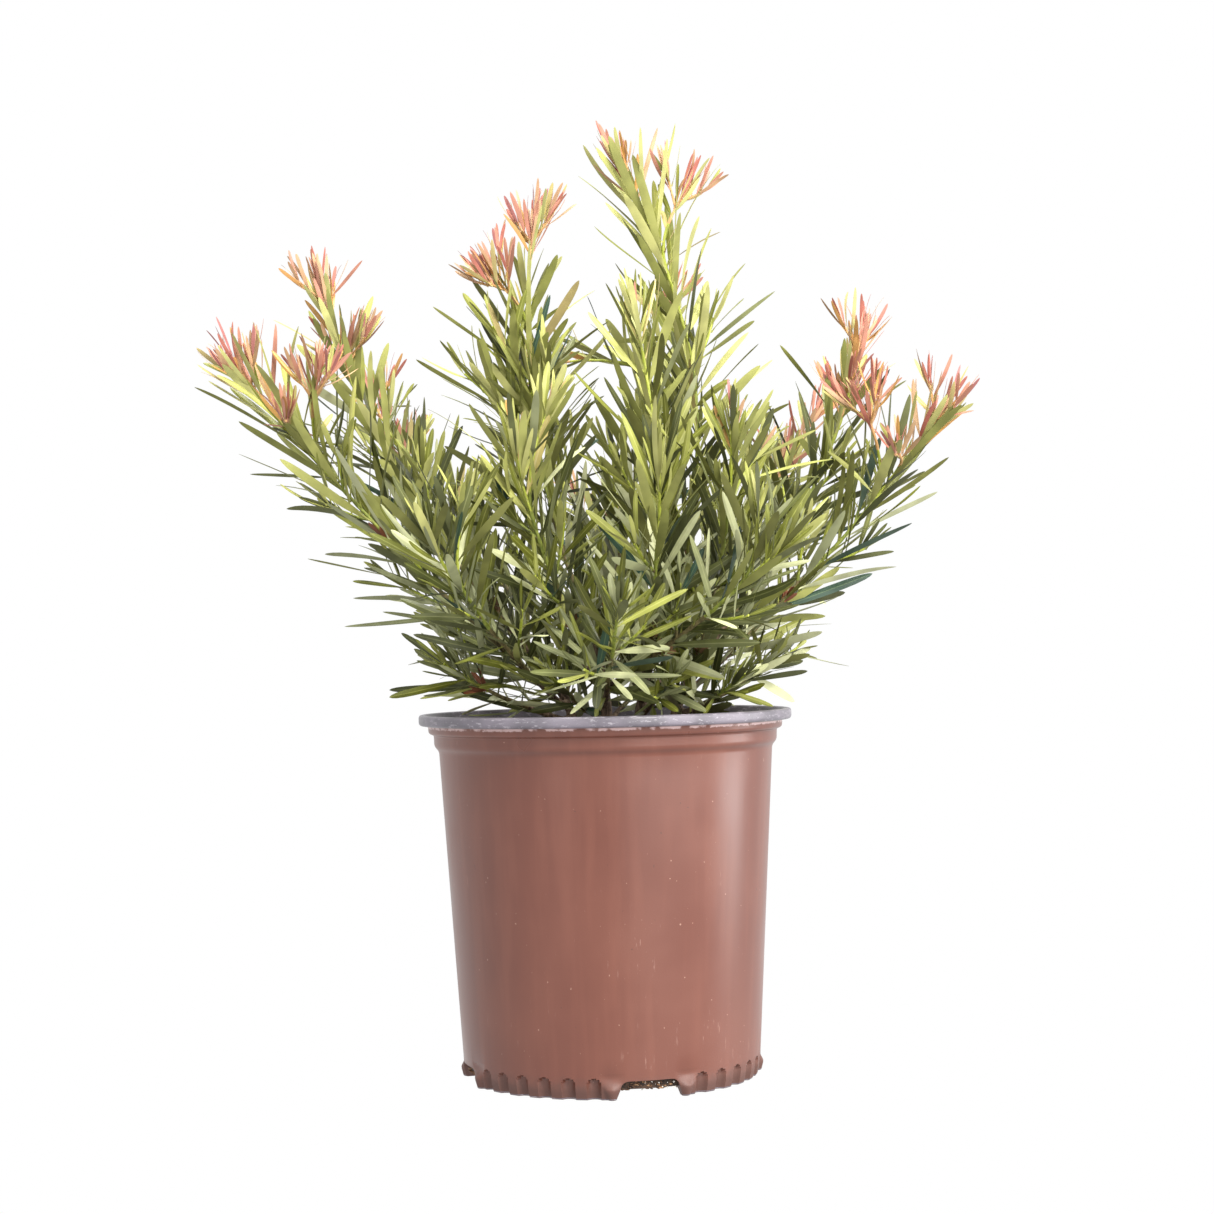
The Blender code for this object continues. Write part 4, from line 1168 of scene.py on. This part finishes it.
def bend_leaves(leaves):
    """The points of every leaf, as an array of leaves, rings, corners and x, y, z."""
    root, forward, face = column(leaves, "root"), column(leaves, "direction"), column(leaves, "face")
    aside = np.cross(forward, face)
    length, droop, sweep, curl, turn = (
        column(leaves, key)[:, None, None] for key in ("length", "droop", "sweep", "curl", "twist"))
    t = STATIONS[None, :, None]
    # droop bends it back all along, curl only near its tip; what bends far reaches less far forward
    back = droop * t ** 2 + curl * t ** 4
    centre = (root[:, None] + forward[:, None] * length * (t - 0.45 * back * np.abs(back))
              - face[:, None] * length * back + aside[:, None] * length * sweep * t ** 2)
    slope = -(2 * droop * t + 4 * curl * t ** 3)
    tangent = unit(forward[:, None] + face[:, None] * slope + aside[:, None] * 2 * sweep * t)
    normal = face[:, None] * np.cos(turn * t) - aside[:, None] * np.sin(turn * t)
    normal = unit(normal - tangent * (normal * tangent).sum(-1, keepdims=True))
    side = np.cross(tangent, normal)
    half = column(leaves, "width")[:, None] / 2 * OUTLINE[None, :]
    across = ACROSS + RIB_SIDE * RIB_HALF
    lift = -CAMBER * np.abs(across) ** CAMBER_CURVE + RIB_RISE * np.abs(RIB_SIDE)
    lift[-1] = 0                # the last corner is the middle of the underside
    points = (centre[:, :, None] + side[:, :, None] * (half[..., None, None] * across[:, None])
              + normal[:, :, None] * (half[..., None, None] * lift[:, None]))
    thick = np.maximum(half * THICK, FOOT_THICK * np.clip(1 - STATIONS * 5, 0.12, 1)[None, :])
    points[:, :, -1] -= normal * thick[..., None] * 2
    return points


print("corners in a ring:", len(ACROSS), "rings:", len(STATIONS))

# %% [markdown]
# ## Where leaves sit and what colour they are
# A leaf's age and its height decide its colour. Age comes from its place on the twig. Height is painted
# light and shade: leaves high up are dealt lighter kinds and those low down darker ones. The oldest, low
# and inside, are dark and grey-green, with pale sage and a few bluish ones among them. Up the shoot and
# higher up they turn olive, green, light green and a yellowish chartreuse. On a coral shoot a neck of
# small sparse leaves follows, already gold, amber and peach, and the newest, in the tuft at its tip, are
# salmon, coral and rose too. The tufts of green shoots stay green, but low down they are dealt darker
# kinds, as painted shade. Each kind gets a plain base colour of its own, barely mottled, and is joined
# into one piece. Its midrib is paler than its upper side, and its underside is duller.

# %% Finishes of the leaves
# kind: upper side, midrib and stalk, underside (all 8-bit sRGB)
LEAF_KINDS = {
    "deep": ((57, 61, 27), (88, 91, 52), (72, 75, 46)),
    "shade": ((80, 84, 44), (109, 112, 70), (94, 97, 62)),
    "sage": ((130, 134, 94), (154, 157, 114), (136, 139, 104)),
    "pale_sage": ((182, 185, 140), (192, 194, 152), (174, 176, 138)),
    "teal": ((46, 68, 54), (78, 96, 70), (66, 82, 67)),
    "olive": ((83, 86, 28), (117, 118, 56), (98, 99, 52)),
    "green": ((106, 110, 42), (138, 141, 70), (119, 121, 64)),
    "light": ((137, 140, 68), (158, 159, 92), (143, 144, 82)),
    "chartreuse": ((163, 164, 92), (176, 175, 114), (160, 159, 100)),
    "gold": ((172, 158, 96), (182, 170, 118), (170, 154, 104)),
    "amber": ((176, 134, 74), (184, 150, 98), (166, 124, 74)),
    "peach": ((184, 150, 116), (188, 160, 124), (178, 142, 110)),
    "salmon": ((178, 128, 108), (186, 146, 120), (172, 120, 102)),
    "coral": ((164, 102, 88), (176, 126, 104), (158, 96, 84)),
    "rose": ((168, 112, 108), (178, 134, 124), (160, 104, 100)),
    "russet": ((130, 76, 50), (148, 102, 70), (116, 70, 50)),
    "dry_scale": ((116, 88, 60), (134, 108, 78), (100, 76, 54)),
}
# side: how rough and how glossy it is
LEAF_SIDES = {"upper": (0.34, 0.27), "rib": (0.42, 0.25), "under": (0.52, 0.20)}
MOTTLE = (0.80, 1.14)           # how much darker and lighter than its colour a leaf is in places


def leaf_finish(name, colour, roughness, gloss):
    """A leathery leaf surface: nearly even, a little mottled, with a soft gloss."""
    made, shader, place = new_finish(name)
    mottle = grain(place, 16 * MM, 2.0)
    speckle = grain(place, 1.2 * MM, 2.0)
    dark, light = ((*(min(1.0, c * share) for c in colour[:3]), 1.0) for share in MOTTLE)
    connect(shader, "Base Color", blend(above(mottle, 0.32, 0.70), dark, light))
    connect(shader, "Roughness", roughness + 0.14 * speckle)
    shader.inputs["Specular IOR Level"].default_value = gloss
    relief(shader, speckle, 0.05 * MM, 0.4)
    return made


leaf_finishes = {}
for kind, colours in LEAF_KINDS.items():
    leaf_finishes[kind] = [
        leaf_finish(f"{kind}_{side}", srgb(*colour), *feel)
        for (side, feel), colour in zip(LEAF_SIDES.items(), colours)]
print("leaf kinds:", len(leaf_finishes))

# %% Choosing a kind
# shares of each kind at four steps of age and painted light, from the oldest, lowest and darkest to the
# youngest, highest and lightest leaves below the tuft
AGES = (
    {"deep": 23, "teal": 4, "shade": 17, "sage": 24, "pale_sage": 23, "green": 9},
    {"deep": 15, "teal": 3, "shade": 16, "olive": 17, "sage": 13, "green": 17, "pale_sage": 11,
     "light": 8},
    {"deep": 9, "teal": 1, "shade": 4, "olive": 24, "green": 28, "light": 22, "chartreuse": 12},
    {"olive": 10, "green": 24, "light": 36, "chartreuse": 26, "gold": 4},
)
# shares in the tuft, from its outermost to its innermost leaves, for a coral shoot
TUFT_CORAL = (
    {"chartreuse": 8, "gold": 18, "amber": 14, "peach": 30, "salmon": 20, "coral": 10},
    {"gold": 5, "amber": 11, "peach": 24, "salmon": 32, "coral": 20, "rose": 8},
    {"peach": 18, "salmon": 32, "coral": 34, "rose": 16},
)
TUFT_GREEN = {"green": 15, "light": 40, "chartreuse": 45}
# darker, duller kinds for green tufts low down: painted shade
TUFT_LOW = {"shade": 40, "sage": 22, "green": 28, "light": 10}
TUFT_LOW_TOP = 330 * MM         # below this a green tuft is dull
NECK = 46.0 * MM                # the stretch at a coral tip with few leaves, short and slim
NECK_KINDS = {"chartreuse": 28, "gold": 28, "amber": 16, "peach": 18, "salmon": 10}
CROWN_FOOT, CROWN_TOP = 225 * MM, 500 * MM
# the height term is painted light: the higher a leaf, the lighter the kind it is dealt
YOUTH_ALONG, PAINTED_LIGHT_UP, YOUTH_SPREAD = 0.40, 0.72, 0.11  # what its place, height and chance add


def pick(shares, rng):
    return rng.choices(list(shares), weights=list(shares.values()))[0]


def twig_leaf_kind(share, left, height, coral, rng):
    """A leaf below the tuft: its age comes from its place on the twig, and painted light from its height.
    """
    rise = min(1.0, max(0.0, (height - CROWN_FOOT) / (CROWN_TOP - CROWN_FOOT)))
    # youth here is age along the twig plus painted light from the leaf's height
    youth = YOUTH_ALONG * share + PAINTED_LIGHT_UP * rise + rng.gauss(0, YOUTH_SPREAD)
    if left < NECK and rng.random() < coral:
        return pick(NECK_KINDS, rng)
    return pick(AGES[min(len(AGES) - 1, max(0, int(youth * len(AGES))))], rng)


def tuft_leaf_kind(rank, height, coral, rng):
    """A leaf of the tuft: rank runs from 0 outermost to 1 innermost."""
    if rng.random() < coral:
        return pick(TUFT_CORAL[min(len(TUFT_CORAL) - 1, int(rank * len(TUFT_CORAL)))], rng)
    # green tufts below TUFT_LOW_TOP are dealt darker kinds: painted shade
    return pick(TUFT_LOW if height < TUFT_LOW_TOP else TUFT_GREEN, rng)


print("below the tuft the youngest leaves are mostly:", max(AGES[-1], key=AGES[-1].get))

# %% [markdown]
# Each leaf roots in its twig's skin and leans off it, less and less towards the tip. Leaves turn up to
# the light, most of all on twigs that lie level, while those low down in the shade just hang. Their
# sizes and bends are drawn at random from a seed, always in the same order.

# %% Where a leaf points
LIGHT_PULL = 0.20               # how far leaves turn up to the light
LEVEL_PULL = 0.80               # and how much further on a level twig
PULL_FROM, PULL_FULL = 260 * MM, 320 * MM       # heights over which that sets in: low ones just hang
OPEN_LEAN = 16                  # degrees more off the twig near the tip of a level one
ROOT_SHARE = 0.7                # of the twig's radius: a leaf starts inside its skin


def leaf_on(path, share, radius, turn_round, lean, **sizes):
    """One leaf's place: rooted in the twig's side, leaning away from it, its face turned up."""
    root, tangent, side, other = path.at(share)
    out = away(side, other, turn_round)
    level = max(0.0, 1 - abs(tangent.z))
    lean = math.radians(lean + OPEN_LEAN * level * share)
    direction = tangent * math.cos(lean) + out * math.sin(lean)
    lit = min(1, max(0, (root.z - PULL_FROM) / (PULL_FULL - PULL_FROM)))
    pull = LIGHT_PULL + LEVEL_PULL * level * lit
    direction = (direction + Vector((0, 0, pull))).normalized()
    face = tangent * math.sin(lean) - out * math.cos(lean)
    face = (face - direction * face.dot(direction)).normalized()
    face = Matrix.Rotation(sizes.pop("roll"), 3, direction) @ face
    return {"root": root + out * radius * ROOT_SHARE, "direction": direction, "face": face, **sizes}


upright = Path([Vector((0, 0, 0)), Vector((0, 0, 0.1))])
test_leaf = leaf_on(upright, 0.5, TIP_RADIUS, 0.0, 50, roll=0.0)
off_twig = math.degrees(test_leaf["direction"].angle(Vector((0, 0, 1))))
print("a leaf set at 50 degrees points", round(off_twig), "degrees off an upright twig")

# %% The sizes of leaves
LEAF_LENGTH = 59.0 * MM
LEAF_WIDTH = 5.3 * MM
LEAN = (54, 23)                 # degrees off the twig, at its foot and near its tip
SLIM_SHARE = 0.14               # of the leaves are longer and thinner than the rest
SLIM_LENGTH, SLIM_WIDTH, SLIM_LEAN = 1.2, 0.62, 14
TUFT_LEAN = (50, 8)             # degrees, of a tuft's outermost and innermost leaves
TUFT_LENGTH = (33 * MM, 22 * MM)
TUFT_WIDTH = 2.8 * MM
TUFT_INCURVE = 0.22             # how far the outer leaves of a tuft bend back inwards


def twig_leaf(path, share, radii, turn_round, vigour, grown, rng):
    """A leaf below the tuft, with a size and a bend of its own."""
    size = vigour * grown * rng.uniform(0.82, 1.14)
    slim = rng.random() < SLIM_SHARE
    long, thin, flat = (SLIM_LENGTH, SLIM_WIDTH, SLIM_LEAN) if slim else (1.0, 1.0, 0)
    return leaf_on(path, share, between(radii, share), turn_round,
                   between(LEAN, share) + flat + rng.gauss(0, 9),
                   roll=rng.gauss(0, 0.75), length=LEAF_LENGTH * size * long,
                   width=LEAF_WIDTH * (0.30 + 0.70 * grown) * rng.uniform(0.84, 1.12) * thin,
                   droop=rng.gauss(0.04, 0.07), curl=rng.gauss(0.01, 0.03),
                   sweep=rng.gauss(0, 0.04), twist=rng.gauss(0, 0.45))


def tuft_leaf(path, share, rank, turn_round, vigour, spread, rng):
    """A leaf of the tuft: rank runs from 0 outermost to 1 innermost."""
    return leaf_on(path, share, TIP_RADIUS, turn_round,
                   between(TUFT_LEAN, rank ** 0.8) * spread + rng.gauss(0, 6),
                   roll=rng.gauss(0, 0.5),
                   length=between(TUFT_LENGTH, rank) * rng.uniform(0.8, 1.2) * vigour,
                   width=TUFT_WIDTH * rng.uniform(0.85, 1.15) * (1 - 0.25 * rank),
                   droop=-TUFT_INCURVE * (1 - rank) + rng.gauss(0, 0.03), curl=rng.gauss(0.03, 0.04),
                   sweep=rng.gauss(0, 0.05), twist=rng.gauss(0, 0.3))


print("a full leaf is", round(LEAF_LENGTH / LEAF_WIDTH, 1), "times as long as it is wide")

# %% The rule that sets leaves on a twig
LEAF_STEP = 3.4 * MM
STEM_LEAF_STEP = 3.0 * MM
YOUNGEST = 0.50                 # the size of a leaf on the neck, as a share of its full size
UNFOLDING = 30.0 * MM           # how far below the neck leaves reach their full size
NECK_SHARE = 0.50               # of the leaves stay on the neck
TUFT_STEP = 1.5 * MM
TUFT_SPREAD = (0.80, 1.10)      # a tuft leans out less or more than it should by a share between these
TUFT_FAN = {"left_outer": 1.30, "right_outer": 1.15, "left_inner": 0.75, "right_inner": 0.85}
# part of the plant: thickness at its foot and tip, the stretch of it that has leaves, how large they
# are, and how many are in its tuft
LEAFY = {
    "main": ((SHOOT_RADIUS, TIP_RADIUS), (0.0, 0.92), 1.0, 20),
    "side": ((SIDE_RADIUS, TIP_RADIUS), (0.05, 0.84), 0.9, 14),
    "lateral": ((SIDE_RADIUS, TIP_RADIUS), (0.12, 0.88), 0.88, 4),
    "bud": ((TIP_RADIUS, TIP_RADIUS), (0.1, 0.2), 0.8, 8),
    "bough": ((BOUGH_RADIUS, SHOOT_RADIUS), (0.35, 1.0), 0.92, 0),
    "stem": ((3 * MM, 2.4 * MM), (0.42, 1.0), 0.85, 0),
}


def grow_leaves(part, path, rng, coral=0.0, vigour=1.0, step=LEAF_STEP, slow=1.0, fan=1.0):
    """Every leaf of one twig: a spiral up its length and a tuft at its tip."""
    radii, zone, part_size, tuft = LEAFY[part]
    vigour, new = part_size * vigour, coral * slow
    leaves = []
    count = max(1, int(path.length * (zone[1] - zone[0]) / step))
    turn_round = rng.uniform(0, math.tau)
    for i in range(count):
        share = between(zone, (i + rng.uniform(0.3, 0.7)) / count)
        left = (1 - share) * path.length
        turn_round += SPIRAL + rng.gauss(0, 0.10)
        if new > NEW_GROWTH and left < NECK and rng.random() > NECK_SHARE:
            continue
        unfolded = min(1.0, max(0.0, (left - NECK * new) / UNFOLDING)) if tuft else 1.0
        grown = YOUNGEST + (1 - YOUNGEST) * unfolded
        leaf = twig_leaf(path, share, radii, turn_round, vigour, grown, rng)
        leaf["kind"] = twig_leaf_kind(share, left, path.at(share)[0].z, new, rng)
        leaves.append(leaf)
    spread = rng.uniform(*TUFT_SPREAD) * fan
    for i in range(tuft):
        rank = i / (tuft - 1)
        share = max(0.0, 1.0 - TUFT_STEP * (tuft - 1 - i) / path.length)
        turn_round += SPIRAL + rng.gauss(0, 0.12)
        leaf = tuft_leaf(path, share, rank, turn_round, vigour, spread, rng)
        leaf["kind"] = tuft_leaf_kind(rank, path.at(share)[0].z, coral, rng)
        leaves.append(leaf)
    return leaves


all_leaves = []
for number, (name, shoot) in enumerate(shoots.items()):
    rng = random.Random(1000 + number)
    coral, vigour = shoot["coral"], VIGOUR.get(name, 1.0)
    all_leaves += grow_leaves("main", shoot["main"], rng, coral, vigour,
                              slow=SLOW_NECK.get(name, 1.0), fan=TUFT_FAN.get(name, 1.0))
    for path in shoot["sides"]:
        all_leaves += grow_leaves("side", path, rng, coral)
    for path in shoot["laterals"]:
        all_leaves += grow_leaves("lateral", path, rng, vigour=vigour)
    for path in shoot["buds"]:
        all_leaves += grow_leaves("bud", path, rng, coral)
    all_leaves += grow_leaves("bough", shoot["bough"], rng)
for number, path in enumerate(stem_paths.values()):
    all_leaves += grow_leaves("stem", path, random.Random(1100 + number), step=STEM_LEAF_STEP)
print("leaves grown:", len(all_leaves))

# %% [markdown]
# A few leaves grow through the wall of the pot, a stem or a twig. Such a leaf is tried again a little
# shorter, and is left off if it never finds room. A few spots on it are enough to tell.

# %% Keeping leaves out of wood, pot and bounds
POT_MARGIN = 1.2 * MM
LIMB_MARGIN = 0.6 * MM
LIMB_STEP = 4 * MM
OWN_LIMB = 9 * MM               # wood this close to a leaf's root is its own, and it may touch it
SHORTER = (1.0, 0.85, 0.7, 0.55)
TEST_RINGS, TEST_CORNERS = (3, 5, 7, 10), (0, 2, 5)     # rings and corners of a leaf that are tried
limb_spots, limb_radii = [], []
for path, thick in ([(p, 3.4 * MM) for p in stem_paths.values()]
                    + [(s["bough"], BOUGH_RADIUS) for s in shoots.values()]
                    + [(s["main"], SHOOT_RADIUS * 0.8) for s in shoots.values()]):
    spots = path.even(LIMB_STEP)
    limb_spots += [tuple(p) for p in spots]
    limb_radii += [thick] * len(spots)
limb_spots, limb_radii = np.array(limb_spots), np.array(limb_radii)


def has_room(points, root):
    """Whether a leaf's far three quarters miss the pot, the box's sides and every limb."""
    if not (clear_of_pot(points, POT_MARGIN) and inside_box(points)):
        return False
    gaps = np.linalg.norm(points[:, None] - limb_spots[None], axis=2) - limb_radii - LIMB_MARGIN
    own = np.linalg.norm(limb_spots - root, axis=1) < OWN_LIMB
    gaps[:, own] = 1.0
    return bool(gaps.min() > 0)


kept = {kind: [] for kind in LEAF_KINDS}
waiting = [{**leaf, "full_length": leaf["length"]} for leaf in all_leaves]
for shorter in SHORTER:
    for leaf in waiting:
        leaf["length"] = leaf["full_length"] * shorter
    bent = bend_leaves(waiting)
    still = []
    for leaf, rings_of_leaf in zip(waiting, bent):
        spots = rings_of_leaf[TEST_RINGS, :][:, TEST_CORNERS].reshape(-1, 3)
        if has_room(spots, np.array(leaf["root"])):
            kept[leaf["kind"]].append(leaf)
        else:
            still.append(leaf)
    waiting = still
print("leaves kept:", sum(map(len, kept.values())), "left off:", len(waiting))

# %% [markdown]
# Two small things finish the twigs. Where one year's growth meets the next, the old bud leaves a ring
# of short dry scales, and here and there a ring of leaves has turned russet. They are leaves of their
# own kinds, set round a twig at a few chosen places.

# %% Dry scales and russet leaves
# kind: how long its leaves are, how many to a ring, and where the rings are: on which shoots, and at
# what share of them
RINGS = {
    "dry_scale": (9 * MM, 9, {
        "left_front": 0.06, "front_right": 0.05, "front_middle": 0.08, "right_front": 0.06,
        "left_inner": 0.05, "tall": 0.05, "back_left": 0.06, "back_right": 0.05}),
    "russet": (13 * MM, 6, {
        "left_outer": 0.42, "right_outer": 0.24, "left_low": 0.5, "back_middle": 0.4}),
}
RING_SPREAD = 0.012             # of the shoot's length, to each side
RING_WIDTH = 4.2 * MM
for kind, (length, count, spots) in RINGS.items():
    for number, (name, share) in enumerate(spots.items()):
        rng = random.Random(70 + number)
        for i in range(count):
            kept[kind].append(leaf_on(
                shoots[name]["main"], share + rng.uniform(-RING_SPREAD, RING_SPREAD), SHOOT_RADIUS,
                i * SPIRAL, rng.uniform(28, 62), roll=0.0, length=length * rng.uniform(0.7, 1.1),
                width=RING_WIDTH * rng.uniform(0.8, 1.1), droop=-0.25, curl=0.1, sweep=0.0, twist=0.0))
print("scales:", len(kept["dry_scale"]), "russet leaves:", len(kept["russet"]))

# %% Join each kind into one piece
LEAF_SHARP = 42                 # degrees
for kind, leaves in kept.items():
    bent = bend_leaves(leaves)
    corners = bent.shape[1] * bent.shape[2]
    faces = [[i * corners + c for c in face] for i in range(len(leaves)) for face in LEAF_FACES]
    piece = new_piece(f"leaves_{kind}", bent.reshape(-1, 3).tolist(), faces, leaf_finishes[kind],
                      LEAF_FINISHES * len(leaves), LEAF_SHARP)
    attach(piece, "root")
    print(piece.name, "leaves:", len(leaves), "triangles:", sum(len(f) - 2 for f in faces))
